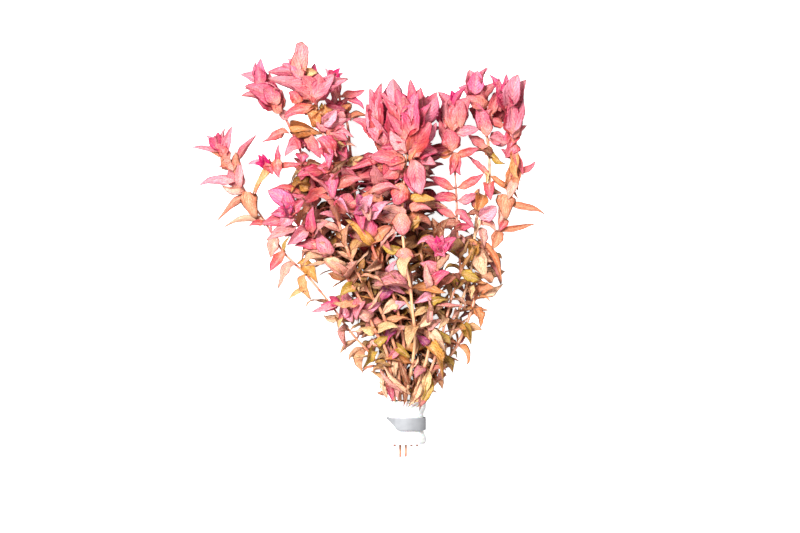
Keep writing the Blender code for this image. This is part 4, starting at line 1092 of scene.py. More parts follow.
crownPortraits["09"] = (
    (32, 76, 15, 31, 100, 14, 8, "rose"), (33, 76, 14, 41, 97, 15, 8, "crimson"),
    (32, 75, 13, 23, 89, 12, 7, "crimson"), (33, 76, 13, 43, 86, 12, 7, "darkRed"),
    (33, 78, 16, 35, 94, 20, 7, "pink"), (33, 75, 12, 37, 95, 9, 7, "darkRed"),
)
crownPortraits["10"] = (
    (42, 0, 36, 37, 6, 42, 4.5, "hotPink"), (43, 0, 36, 48, 6.5, 42, 4.5, "hotPink"),
    (42, 1, 36, 41, 9.5, 42, 4.5, "magenta"), (42, 0, 35, 34, 7, 38, 4.5, "pink"),
    (43, 0, 35, 52, 5, 38, 4.5, "rose"), (43, 2, 36, 45, 10, 41, 4.5, "pink"),
    (42, 0, 36, 40, -3, 41, 4.5, "hotPink"), (43, 0, 36, 46, -3, 41, 4.5, "pink"),
    (42, 0, 34, 36, 10, 35, 4.5, "rose"), (43, 0, 34, 50, 11, 35, 4.5, "mauve"),
)
crownPortraits["11"] = (
    (50, 71, 20, 43.5, 96.5, 24, 12, "pink"), (52, 88, 22, 50, 97, 23, 4, "magenta"),
    (50.5, 73, 16, 51, 93, 14, 9, "darkRed"), (51, 72, 21, 60.5, 93, 25, 11.5, "rose"),
    (52, 87, 24, 59, 98.5, 25, 3.8, "magenta"), (49, 71, 18, 38, 88, 20, 7, "hotPink"),
    (49, 70, 14, 41, 85, 12, 7, "darkRed"), (52, 70, 14, 60, 86, 12, 7, "darkRed"),
    (50.5, 60, 20, 41.5, 78.5, 22, 7.5, "salmonPink"), (51, 60, 20, 55.5, 70, 23, 6, "coral"),
    (50.5, 60, 21, 48, 74, 25, 8.5, "rose", spoon),
    (51.5, 70, 19, 67.5, 74, 20, 5.5, "palePink", (0.8, 0.3, 0.1)),
    (47, 74, 22, 47, 92, 28, 5, "palePink"), (56, 74, 22, 57, 90, 27, 5, "salmonPink"),
)
crownPortraits["12"] = (
    (64, 92, 17, 61, 109.5, 20, 9, "palePink", rounded),
    (65, 92, 19, 66, 108.5, 23, 9, "orchid", rounded), (66, 93, 18, 71, 111.5, 20, 4.8, "pink"),
    (69, 84, 18, 58.5, 93, 20, 8, "peach"), (69, 85, 18, 68, 98, 23, 8, "coral"),
    (71, 69, 17, 65.5, 90, 22, 8.5, "pink"), (71, 70, 17, 74, 87, 21, 7, "salmonPink"),
    (69, 89, 18, 80, 103, 20, 5.5, "salmonPink"), (70, 80, 12, 61, 87, 12, 9, "coral"),
    (66, 90, 14, 64, 104, 12, 8, "rose"),
)
crownPortraits["13"] = (
    (84, 83, 18, 79, 99, 20, 9, "orchid"), (86, 68, 17, 84, 88, 20, 9, "rose"),
    (85, 83, 20, 96, 102.5, 22, 10, "palePink"), (86, 83, 22, 90, 106, 27, 10, "lilac", rounded),
    (80, 84, 20, 84, 98, 26, 6, "hotPink"), (79, 76, 14, 86, 88, 14, 7, "darkRed"),
    (88, 67, 19, 92, 98, 24, 9.5, "lilac"), (88, 68, 20, 86, 91, 27, 8.5, "pink"),
    (84, 78, 19, 78, 104.5, 22, 7.5, "pink"), (75, 79, 18, 80, 101, 22, 5.5, "salmonPink"),
    (79, 95, 19, 73, 106.5, 20, 4, "hotPink"), (83, 85, 21, 83, 107, 23, 5.5, "hotPink"),
    (88, 79, 18, 94, 84.5, 18, 3.8, "pink"), (88.5, 65, 17, 96, 76, 18, 5.5, "coral"),
    (83, 77, 17, 74, 81, 17, 5.5, "coral", (-0.8, 0.1, 0.1)), (78, 82, 11, 77, 97, 11, 9, "darkRed"),
    (84, 65, 18, 73, 69, 20, 7, "palePink", (-0.8, 0.3, 0.1)), (88, 74, 13, 92, 92, 8, 9, "rose"),
)
crownPortraits["14"] = (
    (-56, 51.5, 29, -38.5, 51.8, 30, 3.2, "coral", (0.99, 0.02, 0.1)),
    (-55, 52, 29, -68, 52.3, 28, 2.6, "rose", (-0.99, 0.02, 0.1)),
    (-53.5, 50, 30, -53, 63.8, 33, 3.4, "crimson", (0.1, 0.9, 0.3)),
    (-53.5, 56, 31, -53, 43.5, 33, 5.2, "coral", (0.0, -0.9, 0.3)),
    (-60, 51, 26, -65, 58, 31, 4, "magenta"), (-60, 51, 26, -62, 58.5, 33, 4, "magenta"),
    (-61, 51, 27, -66.5, 53, 32, 3.6, "magenta"), (-63, 53, 26, -72, 52.5, 26, 2.6, "lilac"),
    (-60, 52, 26, -56, 46, 29, 5.5, "coral"), (-58, 49, 23, -69.5, 34, 18, 4.5, "orange"),
)
crownPortraits["15"] = (
    (-16, -31, 15, -29, -31.5, 17, 4, "hotPink"), (-15, -30, 15, -23, -26, 18, 4, "magenta"),
    (-12, -30, 16, -9, -42, 20, 9, "white", (0.1, -0.9, 0.3)),
    (-13, -31, 16, -18, -41, 18, 7, "palePink", (-0.3, -0.8, 0.3)),
    (-11, -29, 16, -3, -37, 18, 6, "palePink", (0.5, -0.7, 0.3)), (-16, -31, 15, -26, -36, 17, 4, "pink"),
    (-10, -30, 16, -13, -22, 18, 6, "palePink"),
)

# Round leaves that lie over their stem, and long ones that stand out of the bunch
stemPortraits = {}
stemPortraits["01"] = (
    (-79, 43, 14, -103, 41, 12, 5, "palePink", (-0.9, 0.2, 0.1), {"widest": 0.6}),
    (-74, 38, 13, -88, 40.5, 13, 5.5, "salmon", (-0.9, -0.2, 0.1)),
    (-72, 30, 12, -91, 17, 11, 4.2, "apricot"), (-61, 15.5, 12, -88, 15.5, 11, 4, "oldPeach"),
    (-62, 15.5, 13, -72, 16, 14, 3.6, "coral"),
    (-71, 35, 13, -68, 19.5, 17, 8.5, "apricot", {**spoon, "blunt": 0.5}),
    (-56, 10, 12, -59, -3.5, 13, 6, "salmon", (-0.2, -0.9, 0.2)),
    (-49, 9, 13, -43, 11.5, 14, 3, "darkRed"),
    (-50, 0, 11, -60, -11.5, 10, 5.4, "coral", (-0.6, -0.6, 0.1)),
    (-43, -8, 11, -54, -23, 10, 5, "salmon", (-1, 0.1, 0.1)),
    (-43, -7, 12, -31, -19.5, 13, 6.5, "gold", (1, 0.1, 0.1)),
    (-37, -13, 11, -34, -29, 10, 5, "orange", (-0.6, -0.8, 0.1)),
    (-37, -24, 11, -48.5, -28.5, 9, 3.4, "tan", (-0.9, 0.3, 0)),
    (-49.5, 0, 12, -46, 10.5, 14, 2.4, "olive"), (-12, -48, 11, -13, -61, 10, 4.5, "mauve"),
    (-55, 10, 12, -51, 15, 14, 3, "tan"), (-57, 11, 12, -58, 17, 14, 2, "cream"),
)
stemPortraits["02"] = (
    (-22, -2, 28, -30.5, 13, 30, 7, "palePink"), (-28, 3, 28, -43.5, 4.5, 28, 6, "rose"),
    (-14, -13, 27, -27, -5, 28, 7, "salmon"), (4, -60, 18, -3, -71, 16, 5, "olive"),
    (-15, -11, 27, -27, -4, 29, 7, "oldPeach"), (-24, 0, 28, -40, 0, 28, 7, "salmon"),
    (2, -40, 22, -8, -33, 24, 6.5, "mauve"), (-8, -22, 24, -17, -27, 25, 5.5, "olive"),
    (-3, -30, 23, -7, -42, 23, 6, "dustyPink"), (0, -36, 22, 9, -30, 23, 5.5, "lilac"),
    (4, -48, 20, -5, -46, 21, 5, "tan"), (6, -56, 19, 14, -50, 20, 4.5, "olive"),
    (-10, -18, 24, -1, -12, 25, 6, "brown"),
)
stemPortraits["03"] = (
    (-46, 71, 14, -27, 70.5, 18, 9, "ochre", (0.5, 0.8, 0.3)),
    (-47, 71.5, 13, -64, 65, 12, 5.5, "coral", (-0.9, 0.2, 0.2), {"widest": 0.6, "pointed": 0.6}),
    (-39, 62, 13, -47, 67, 15, 6, "palePink"), (-39, 62, 13, -50, 57, 15, 8, "dustyPink"),
    (-39, 61, 13, -39.5, 54, 15, 6.5, "pink", (-0.3, -0.9, 0.2)),
    (-42, 70, 10, -34, 61, 11, 7, "darkRed"), (-40, 64, 13, -35.5, 67.5, 15, 3, "salmonPink"),
    (-37, 71, 16, -27.5, 56.5, 20, 6, "salmonPink", (0.4, -0.6, 0.4)),
    (-41, 70, 14, -34, 61, 15, 6.5, "darkRed"), (-42.5, 70, 15, -39.5, 59, 16, 3, "coral"),
    (-40, 69, 11, -30, 70, 12, 6, "dark"), (-37, 51, 15, -23, 50.5, 20, 5.5, "dark", (0.5, 0.5, 0.3)),
    (-37, 50, 14, -30, 47, 16, 6, "crimson"), (-45, 71, 16, -34, 73, 19, 5, "ochre"),
    (-37, 50, 12, -47, 41.5, 13, 3.4, "tan"), (-36, 47, 12, -41, 43, 15, 5, "rose"),
    (-34, 32, 10, -46, 38, 13, 8, "brown"), (-40, 33, 13, -60, 37, 13, 3.4, "coral"),
    (-36, 40, 12, -47, 36, 16, 7, "gold"), (-35, 36, 12, -43, 43.5, 16, 6, "gold"),
)
stemPortraits["04"] = (
    (-22, 57, 28, -30, 67.5, 30, 10, "rose", rounded), (-23, 61, 28, -22.6, 48.5, 32, 5.4, "pink", spoon),
    (-25, 70, 24, -30, 74, 25, 4, "rust"), (-22, 58, 26, -30, 60, 27, 7, "coral"),
    (-21, 70, 24, -11, 71, 25, 6, "crimson"), (-20, 66, 23, -10.5, 67, 24, 6.5, "darkRed"),
    (-19, 60, 22, -11, 61, 22, 7.5, "mauve"), (-19, 57, 21, -11.5, 54, 21, 6.5, "darkRed"),
    (-23, 68, 27, -17.5, 56.5, 28, 4, "peach", (0.3, -0.8, 0.3)),
    (-28, 76, 27, -36.5, 84.5, 29, 7.5, "ochre", (-0.7, 0.5, 0.3)),
    (-28, 76, 27, -25, 88.5, 29, 7.5, "ochre"), (-28, 75, 28, -28, 84, 31, 7, "orange"),
    (-30, 78, 27, -12, 80, 30, 8.5, "palePink", (0.7, -0.5, 0.3)),
    (-27, 76, 28, -18, 84.5, 31, 7.5, "white", (0.7, 0.4, 0.4)),
    (-33, 80, 26, -14, 74, 28, 3.6, "pink", (0.8, -0.4, 0.2)),
    (-17, 73.5, 24, -9, 80, 24, 2.4, "crimson"), (-22, 71.5, 27, -13, 75.5, 28, 5, "salmonPink"),
    (-20, 71, 26, -7.5, 68.5, 27, 4.6, "dustyPink"), (-22, 68.5, 27, -11.5, 66, 29, 7.5, "crimson"),
    (-22.5, 67, 26, -13, 62.5, 26, 4.4, "olive"), (-17, 60, 23, -6, 63.5, 25, 5.5, "salmon"),
    (-17, 62, 23, -12, 55, 23, 6.5, "crimson"), (-21, 44, 24, -11, 55, 25, 6.5, "dark"),
    (-22, 45, 26, -18, 51, 26, 5, "dark"), (-22, 47, 28, -30, 50.5, 30, 6.5, "rose"),
    (-13, 22, 31, -11.5, 35.5, 35, 11, "rose", spoon), (-22, 45, 29, -20, 31, 33, 8, "pink", spoon),
    (-24, 47, 27, -42, 45, 29, 7, "crimson", (-0.9, 0.3, 0.2)), (-22, 40, 20, -34, 46, 18, 8, "crimson"),
    (-20, 36, 20, -30, 34, 18, 8, "darkRed"), (-18, 52, 20, -10, 60, 18, 8, "crimson"),
    (-16, 44, 20, -6, 46, 19, 8, "darkRed"), (-25, 80, 20, -12, 86, 18, 8, "darkRed"),
    (-24, 74, 18, -34, 76, 17, 7, "darkRed"),
)
stemPortraits["05"] = (
    (-12, 84, 13, -25.5, 91, 16, 7, "rust"), (-13, 84, 13, -25, 83, 15, 6, "crimson"),
    (-12, 80, 13, -16, 86, 14, 5, "darkRed"), (-10, 79, 13, 0, 82, 15, 4, "rust"),
    (-10, 50, 14, -2, 58, 16, 5.5, "tan"), (-10, 50, 14, -8, 57, 16, 5.5, "oldPeach"),
    (-10, 51, 13, -21, 47, 15, 8, "mauve"), (-9, 44, 13, -9, 52, 15, 6, "brown"),
)
stemPortraits["06"] = (
    (2, 8, 30, -1, 21.5, 33, 10, "pink", spoon), (2, 4, 10, -14, 14, 6, 12, "crimson"),
    (4, -2, 9, -12, -8, 5, 11, "mauve"), (0, 18, 10, -18, 30, 6, 12, "crimson"),
    (14, -30, 9, -4, -38, 5, 10, "brown"), (3, 5, 28, -13, 21, 29, 5.5, "gold"),
    (13, -19, 23, 4, -12, 26, 7, "salmon"), (17, -31, 21, 8, -38, 22, 6.5, "oldPeach"),
    (12, -16, 22, 17.5, -4, 24, 4.5, "white"), (13, -20, 22, 23, -26, 23, 5, "lilac"),
    (15, -34, 20, 24, -30, 22, 5, "white"), (14, -22, 20, 6, -30, 20, 6, "purple"),
    (16, -46, 19, 10, -56, 19, 5.5, "purple"), (17, -50, 19, 25, -44, 20, 5, "mauve"),
    (12, -14, 21, 2, -20, 21, 6, "mauve"), (18, -60, 19, 11, -66, 18, 4.5, "dustyPink"),
    (18, -58, 19, 26, -64, 19, 5, "olive"),
)
stemPortraits["07"] = (
    (9, 51, 20, -12, 48, 22, 5, "salmonPink"), (9, 55, 20, 0, 57, 21, 3.4, "palePink"),
    (9, 62, 19, 22, 59, 21, 5, "crimson"), (8, 49, 20, 17, 55, 21, 7.5, "rust"),
    (9, 53, 21, 11, 41, 23, 7, "coral", (0.1, -0.9, 0.3)), (7, 32, 19, 16, 39, 21, 8, "mauve"),
    (7, 28, 19, -5, 34, 21, 8, "rust"),
)
stemPortraits["08"] = (
    (26, 56, 31, 31.5, 33.5, 35, 9.5, "dustyPink", (0.4, -0.8, 0.3), rounded),
    (24, 51, 30, 27, 35, 33, 6.5, "pink", (0.2, -0.9, 0.2)), (28, 55, 29, 43, 60, 30, 9, "crimson"),
    (30, 54, 28, 41, 51, 30, 8, "dustyPink"), (26, 53, 32, 36.5, 66.5, 33, 4.4, "ochre"),
    (27, 54, 31, 39, 65, 31, 6.5, "salmonPink"),
    (23, 54, 31, 1, 56.5, 31, 8, "salmonPink", (-0.9, 0.3, 0.2)),
    (23, 52, 32, 13, 48.5, 33, 7.5, "rose", (-0.9, 0.1, 0.2)),
    (14, 53, 30, 11, 40.5, 31, 7, "coral", rounded), (22, 58, 31, 7, 62.5, 30, 5.5, "crimson"),
    (21, 45, 29, 16, 40.5, 30, 4.6, "darkRed"), (23, 43, 28, 25, 34, 28, 4.6, "dark"),
    (27, 23, 29, 39, 25.5, 30, 5.6, "peach"), (24, 40, 27, 19, 50, 28, 5, "rose"),
    (36, 48, 27, 28, 40, 27, 9, "mauve"),
    (20.5, 23.5, 34, 21, 9, 35, 9.5, "peach", (0.0, -0.8, 0.5), spoon),
    (21, 41, 34, 17, 27, 35, 9.5, "coral", (-0.1, -0.8, 0.5), spoon),
    (22.5, 2.5, 33, 22, -7, 34, 9, "peach", (0.0, -0.8, 0.5), spoon),
    (20, 18, 30, 4, 18, 31, 6.5, "mauve", (-0.9, 0.1, 0.2)),
    (20, 14, 30, 8, 2, 30, 6, "mauve", (-0.8, -0.3, 0.2)), (28, 12, 29, 30, 22.5, 31, 5, "gold"),
    (22, 0, 30, 7, 4.5, 30, 5, "olive", (-0.9, 0.2, 0.1)),
    (24, 31, 31, 41, 30, 31, 6, "gold", (0.9, 0.2, 0.1)), (21, 20, 31, 7, 27, 32, 6, "mauve"),
    (22, 12, 31, 33, 19, 32, 6, "olive"), (22, 48, 31, 10, 43, 33, 7, "coral", (-0.9, 0.1, 0.2)),
)
stemPortraits["09"] = (
    (26, -30, 7, 4, -22, 4, 12, "brown"), (24, -45, 7, 6, -45, 4, 11, "mauve"),
    (28, -5, 6, 14, 6, 3, 12, "darkRed"), (29, -8, 6, 44, -18, 3, 12, "brown"),
    (30, 4, 7, 48, 6, 4, 12, "mauve"), (27, -32, 7, 48, -38, 4, 12, "rust"),
    (25, -55, 8, 42, -66, 5, 11, "brown"), (24, -56, 8, 8, -62, 5, 11, "rust"),
    (30, 8, 7, 14, 20, 4, 12, "crimson"), (31, 30, 8, 46, 22, 5, 10, "darkRed"),
)
stemPortraits["10"] = (
    (36, -22, 31, 35, -6, 34, 4.2, "mauve"), (37, -42, 29, 35.5, -26, 32, 4, "mauve"),
    (40, -18, 31, 50, -12, 33, 6, "pink"), (40, -20, 30, 33, -14, 32, 5, "salmonPink"),
    (38, -26, 27, 28, -31, 27, 6, "lilac"), (38, -30, 27, 49, -28, 27, 5, "olive"),
    (37, -40, 26, 27, -46, 25, 6, "oldPeach"), (36, -46, 25, 45, -40, 25, 5, "mauve"),
    (36, -56, 23, 29, -50, 23, 4.5, "purple"), (41, -12, 29, 31, -6, 29, 6, "dustyPink"),
    (37, -57, 24, 46.5, -79, 20, 6.5, "gold"), (38, -49, 25, 48, -66, 19, 6, "oldPeach"),
    (36, -70, 20, 26, -93, 20.5, 5, "tan", (0.1, -0.9, 0.3)),
    (37, -74, 19, 30, -94, 20, 4.4, "olive", (0.2, -0.9, 0.3)),
    (31, -78, 20, 23.5, -93, 20.5, 4, "oldPeach", (0, -0.9, 0.3)),
    (22, -80, 20, 22, -93, 20.5, 2.8, "brown", (0, -0.9, 0.3)),
    (18, -76, 19, 18.5, -90.5, 20, 3.6, "mauve", (0, -0.9, 0.3)),
    (13, -75, 19, 15.5, -90, 20, 4, "darkRed", (0, -0.9, 0.3)),
    (9, -74, 18, 12, -89, 19.5, 4.2, "oldPeach", (0, -0.9, 0.3)),
    (24, -86, 19, 6, -69, 18, 3, "mauve", (-0.7, 0.5, 0.4)),
    (26, -86, 20, 8, -66, 19, 2.8, "oldPeach", (-0.6, 0.6, 0.4)),
    (25, -80, 19, 17, -60, 20, 3.4, "brown", (-0.4, 0.8, 0.4)),
    (41, 8, 33, 29, 5, 36, 3, "lilac", (-0.9, 0.1, 0.2)), (42, 8, 32, 49, 20, 33, 6, "brown"),
    (42, 8, 31, 38, 20, 31, 6, "brown"),
)
stemPortraits["11"] = (
    (52, 60, 19, 49.8, 45.5, 21, 5.5, "coral", (-0.1, -0.9, 0.3)),
    (52.5, 60, 19, 55.3, 45.5, 21, 5.5, "rose", (0.1, -0.9, 0.3)),
    (51, 59, 19, 37.5, 59, 19, 5, "darkRed", (-0.9, 0.2, 0.1)),
    (51, 58.5, 19, 42, 57, 20, 3.6, "rust", (-0.9, 0.1, 0.2)),
    (52, 58, 19, 67, 63.5, 19, 4.4, "coral", (0.8, 0.1, 0.2)),
    (53, 38.5, 19, 36, 46.5, 19, 4.6, "rose", (-0.9, 0.2, 0.1)),
    (53, 38.5, 19, 70.5, 47, 19, 4.4, "coral", (0.9, 0.2, 0.1)),
    (53.7, 30, 18, 37, 32, 18, 5.5, "crimson", (-0.7, 0.6, 0.2)),
    (53.7, 31, 18, 41, 35, 20, 3.4, "coral", (-0.8, 0.5, 0.2)),
    (54, 21, 18, 40, 29.5, 18, 3.8, "salmonPink", (-0.9, 0.2, 0.1)),
    (54, 31, 18, 67, 35.5, 18, 5, "palePink", (0.9, 0.0, 0.2)), (54, 21, 18, 64, 20, 18, 3.6, "brown"),
    (54, 21.5, 18, 64.5, 14, 20, 5, "pink"), (54, 11.5, 18, 64, 16, 18, 4.4, "crimson"),
    (54, 12, 17, 62, 11, 16, 4, "dark"), (53.5, 14, 18, 42, 14, 19, 7, "brown"),
    (53, 8, 18, 49, -1, 20, 6, "mauve"), (54.5, 6, 18, 57, -2, 20, 6, "mauve"),
    (56, -14, 19, 68, -17, 18, 7, "olive", (0.9, 0.1, 0.2)),
)
stemPortraits["12"] = (
    (73.5, 45, 13, 60, 58.5, 14, 3.6, "salmonPink", (-0.6, 0.7, 0.1)),
    (74, 46, 13, 91.5, 32.5, 12, 3.4, "rust", (0.6, -0.3, 0.2)),
    (73, 64, 14, 60, 70, 16, 5.5, "salmonPink", (-0.8, 0.3, 0.1)),
    (73.5, 56, 13, 65, 61.5, 15, 6, "dark"), (73, 57, 13, 67, 63.5, 13, 4, "orange"),
    (73, 67, 14, 84.5, 68, 16, 8, "palePink", (0.8, 0.2, 0.2)),
    (73, 57, 13, 83, 52.5, 15, 5, "olive", (0.9, 0.1, 0.2)), (72.5, 47, 13, 71.5, 38.5, 13, 2.6, "tan"),
    (73, 40, 13, 74, 31, 18, 6.5, "coral", rounded),
    (71, 34, 13, 66, 24.5, 16, 8.5, "ochre", (-0.6, -0.6, 0.4)), (67, 25, 15, 66.5, 38.5, 18, 6, "gold"),
    (64.5, 27, 14, 67, 39, 16, 3.4, "pink"),
    (67, 21, 13, 77.5, 27.5, 17, 8.5, "white", (0.6, 0.3, 0.3), rounded),
    (72, 34, 12, 81, 35, 13, 4, "brown"), (66, 22, 12, 59, 21.5, 13, 4, "brown"),
    (74, 40, 12, 79, 34, 13, 3, "tan"), (66, 18, 13, 65.5, 9, 14, 3.4, "oldPeach"),
    (67, 17.5, 12, 77.5, 12, 15, 4.6, "salmon", (0.8, 0.1, 0.3)),
    (68, 15, 11, 70.5, 1, 14, 5, "mauve", (0.2, -0.8, 0.4)),
    (64.5, 8, 11, 61, -7, 13, 6, "gold", (-0.2, -0.8, 0.4)),
    (66, 0, 11, 71, -15, 13, 7.5, "oldPeach", (0.4, -0.8, 0.3)), (63, 2, 12, 60, 8, 14, 4.5, "orange"),
    (64, 0, 12, 63, -8, 13, 4, "olive"), (66, 6, 11, 81, -20, 10, 3.4, "rust", (0.8, -0.2, 0.2)),
)
stemPortraits["13"] = (
    (85, 29, 14, 108, 24, 13, 4, "apricot", (0.97, -0.1, 0.1)),
    (80, 12, 13, 102, 17.5, 13, 3.6, "apricot", (0.9, 0.3, 0.1)),
    (90, 48, 14, 101.5, 54.5, 15, 3.2, "salmonPink", (0.8, 0.1, 0.1)),
    (84, 33, 15, 82.5, 19, 20, 9.5, "apricot", {**spoon, "hook": 1}),
    (88, 53, 15, 83, 38, 16, 5, "rust", (-0.3, -0.8, 0.2)),
    (89, 53, 14, 89.5, 37, 15, 4.2, "apricot", (0.2, -0.9, 0.2)),
    (83, 21, 14, 79, 13, 16, 4, "coral", (0, -0.9, 0.3)),
    (88, 60, 15, 90, 42, 17, 5, "orange", (0.1, -0.8, 0.4)),
    (88, 62, 15, 94, 46, 16, 4, "salmonPink", (0.3, -0.8, 0.4)),
    (88, 45, 14, 85, 31, 17, 5, "salmon", (-0.1, -0.8, 0.4)),
    (79, 13, 13, 75.5, 1.5, 15, 7, "apricot", (-0.1, -0.8, 0.4)),
    (80, 30, 14, 79, 12, 15, 3.2, "salmon", (0, -0.9, 0.3)), (89, 64, 15, 83, 56, 17, 8, "salmonPink"),
    (89, 70, 15, 84, 62, 17, 7.5, "coral"), (89, 68, 15, 81, 65, 18, 6.5, "pink"),
    (90, 60, 15, 82, 60.5, 17, 6, "dustyPink"), (89, 58, 15, 86, 50, 16, 6, "rust"),
    (87, 55, 13, 80, 62, 14, 4, "darkRed"), (89, 56, 14, 85, 44, 16, 4.4, "coral", (-0.2, -0.9, 0.2)),
    (66, -25, 10, 82, -19, 10, 6.5, "oldPeach", (0.97, 0.1, 0.1)), (59, -46, 10, 63, -57, 8, 5, "olive"),
)


def portraitLeaf(name, number, aim, item):
    base, tip, width, colour = Vector(item[:3]), Vector(item[3:6]), item[6], item[7]
    stem, form = aim, {}
    for more in item[8:]:
        if isinstance(more, dict):
            form = more
        else:
            stem = Vector(more).normalized()
    age, tone, paleness = leafColours[colour]
    leaf = drawnLeaf(name, 400 + number, base, stem, tip, width / growth["drawnWidening"], age)
    leaf["form"] = {**usualForm, **form}
    leaf["flop"] = 0.9
    leaf["tones"], leaf["paleness"] = (tone, tone), paleness
    return leaf


def portraitLeaves(name, items, aim):
    return [portraitLeaf(name, i, aim, item) for i, item in enumerate(items)]


bud = {
    "pairs": 4,
    "foot": 1.5,
    "pairStep": 0.9,
    "length": 10.5,
    "width": 4.2,
    # from the outer to the inner pair
    "spread": (20, 4),
    "lengthShare": (1.0, 0.7),
    "widthShare": (1.15, 0.7),
    "age": (0.02, 0.0),
    "turnError": 20,
    "spreadError": 5,
    "thickness": 0.3,
    "curl": -14,
    "fold": 34,
    "form": {"cup": 0.5, "fold": 0, "twist": 0, "wider": 1.05},
}


def budLeaves(name):    # the young leaves that wrap the heart of a crown
    stem, aim, route = stems[name], aimOf(name), routes[name]
    foot = route.point(route.length) + aim * bud["foot"] * stem["size"]
    leaves = []
    for pair in range(bud["pairs"]):
        inner = pair / (bud["pairs"] - 1)
        for half in (0, 1):
            leaves.append({
                "base": foot + aim * pair * bud["pairStep"] * stem["size"],
                "stem": aim,
                "round": (stem["spin"] + 90 * pair + 180 * half
                          + bud["turnError"] * jitter(name, pair, 20 + half)),
                "spread": mix(*bud["spread"], inner) + bud["spreadError"] * jitter(name, pair, 22 + half),
                "length": bud["length"] * stem["size"] * mix(*bud["lengthShare"], inner),
                "width": bud["width"] * stem["size"] * mix(*bud["widthShare"], inner),
                "thickness": bud["thickness"],
                "curl": bud["curl"],
                "fold": bud["fold"],
                "flop": 0,
                "lean": 1,
                "droop": 0,
                "form": bud["form"],
                "age": mix(*bud["age"], inner),
            })
    return leaves


# Materials

def addNode(tree, kind, inputs=None, **settings):    # a node with its values and links
    made = tree.nodes.new(kind)
    for label, value in settings.items():
        setattr(made, label, value)
    for label, value in (inputs or {}).items():
        if isinstance(value, bpy.types.NodeSocket):
            tree.links.new(value, made.inputs[label])
        else:
            made.inputs[label].default_value = value
    return made


def linkAll(tree, sockets, values):
    for label, value in values.items():
        tree.links.new(value, sockets[label])


def maths(tree, operation, a, b=0.0):
    return addNode(tree, "ShaderNodeMath", {0: a, 1: b}, operation=operation).outputs[0]


def product(tree, value, *shares):
    for share in shares:
        value = maths(tree, "MULTIPLY", value, share)
    return value


def total(tree, value, *others):
    for other in others:
        value = maths(tree, "ADD", value, other)
    return value


def ranged(tree, value, low, high, toLow=0.0, toHigh=1.0):
    return addNode(tree, "ShaderNodeMapRange", {
        "Value": value, "From Min": low, "From Max": high, "To Min": toLow, "To Max": toHigh,
    }, interpolation_type="SMOOTHSTEP").outputs["Result"]


def blended(tree, share, a, b):
    a, b = ((*colour, 1) if isinstance(colour, tuple) else colour for colour in (a, b))
    return addNode(tree, "ShaderNodeMix", {0: share, 6: a, 7: b}, data_type="RGBA").outputs[2]


def layered(tree, colour, *layers):    # each layer is a mask and the colour it lets in
    for mask, added in layers:
        colour = blended(tree, mask, colour, added)
    return colour


def ramp(tree, value, stops):
    made = addNode(tree, "ShaderNodeValToRGB", {0: value})
    bar = made.color_ramp
    while len(bar.elements) < len(stops):
        bar.elements.new(0.5)
    for element, (position, colour) in zip(bar.elements, stops):
        element.position = position
        element.color = (*colour, 1)
    return made.outputs[0]


def noiseAt(tree, where, scale, detail, **more):
    inputs = {"Vector": where, "Scale": scale, "Detail": detail, **more}
    return addNode(tree, "ShaderNodeTexNoise", inputs).outputs[0]


def addBump(tree, shader, height, strength, distance):
    inputs = {"Height": height, "Strength": strength, "Distance": distance}
    linkAll(tree, shader.inputs, {"Normal": addNode(tree, "ShaderNodeBump", inputs).outputs[0]})


def newGroup(name, inputs, outputs):    # inputs are names with usual values, outputs are names
    group = bpy.data.node_groups.new(name, "ShaderNodeTree")
    for label, value in inputs.items():
        socket = group.interface.new_socket(label, in_out="INPUT", socket_type="NodeSocketFloat")
        socket.default_value = value
    for label in outputs:
        group.interface.new_socket(label, in_out="OUTPUT", socket_type="NodeSocketFloat")
    start = group.nodes.new("NodeGroupInput")
    end = group.nodes.new("NodeGroupOutput")
    return group, start.outputs, end.inputs


def makeVeins():    # midrib and side veins of a leaf
    group, given, wanted = newGroup(
        "leafVeins", {"Along": 0, "Across": 0, "Pairs": 9, "Lean": 0.35, "Width": 0.3},
        ("Midrib", "Veins"))
    width = maths(group, "ABSOLUTE", given["Across"])
    leaned = maths(group, "SUBTRACT", given["Along"], product(group, width, given["Lean"]))
    wave = maths(group, "FRACT", product(group, leaned, given["Pairs"]))
    near = maths(group, "ABSOLUTE", maths(group, "SUBTRACT", wave, 0.5))
    sideVein = ranged(group, near, 0.0, given["Width"], 1.0, 0.0)
    linkAll(group, wanted, {
        "Midrib": ranged(group, width, 0.0, 0.13, 1.0, 0.0),
        "Veins": product(group, sideVein, ranged(group, width, 0.55, 1.0, 1.0, 0.0)),
    })
    return group


def makeRim():    # the thin margin and the tip of a leaf
    group, given, wanted = newGroup(
        "leafRim", {"Along": 0, "Across": 0, "Margin": 0.8, "Tip": 0.86}, ("Edge", "Tip"))
    width = maths(group, "ABSOLUTE", given["Across"])
    linkAll(group, wanted, {
        "Edge": ranged(group, width, given["Margin"], 1.0),
        "Tip": ranged(group, given["Along"], given["Tip"], 1.0),
    })
    return group


def makeMottle():    # uneven growth: soft patches and fine grain
    group, given, wanted = newGroup(
        "mottle", {"Patch": 300, "Grain": 2500, "Low": 0.4, "High": 0.65}, ("Patches", "Grain"))
    where = addNode(group, "ShaderNodeTexCoord").outputs["Object"]
    soft = noiseAt(group, where, given["Patch"], 3.0)
    linkAll(group, wanted, {
        "Patches": ranged(group, soft, given["Low"], given["High"]),
        "Grain": noiseAt(group, where, given["Grain"], 2.0),
    })
    return group


def newMaterial(name, constants):
    made = bpy.data.materials.new(name)
    made.use_nodes = True
    tree = made.node_tree
    shader = tree.nodes["Principled BSDF"]
    for label, value in constants.items():
        shader.inputs[label].default_value = value
    return made, tree, shader


def groupIn(tree, group, inputs):
    return addNode(tree, "ShaderNodeGroup", inputs, node_tree=group).outputs


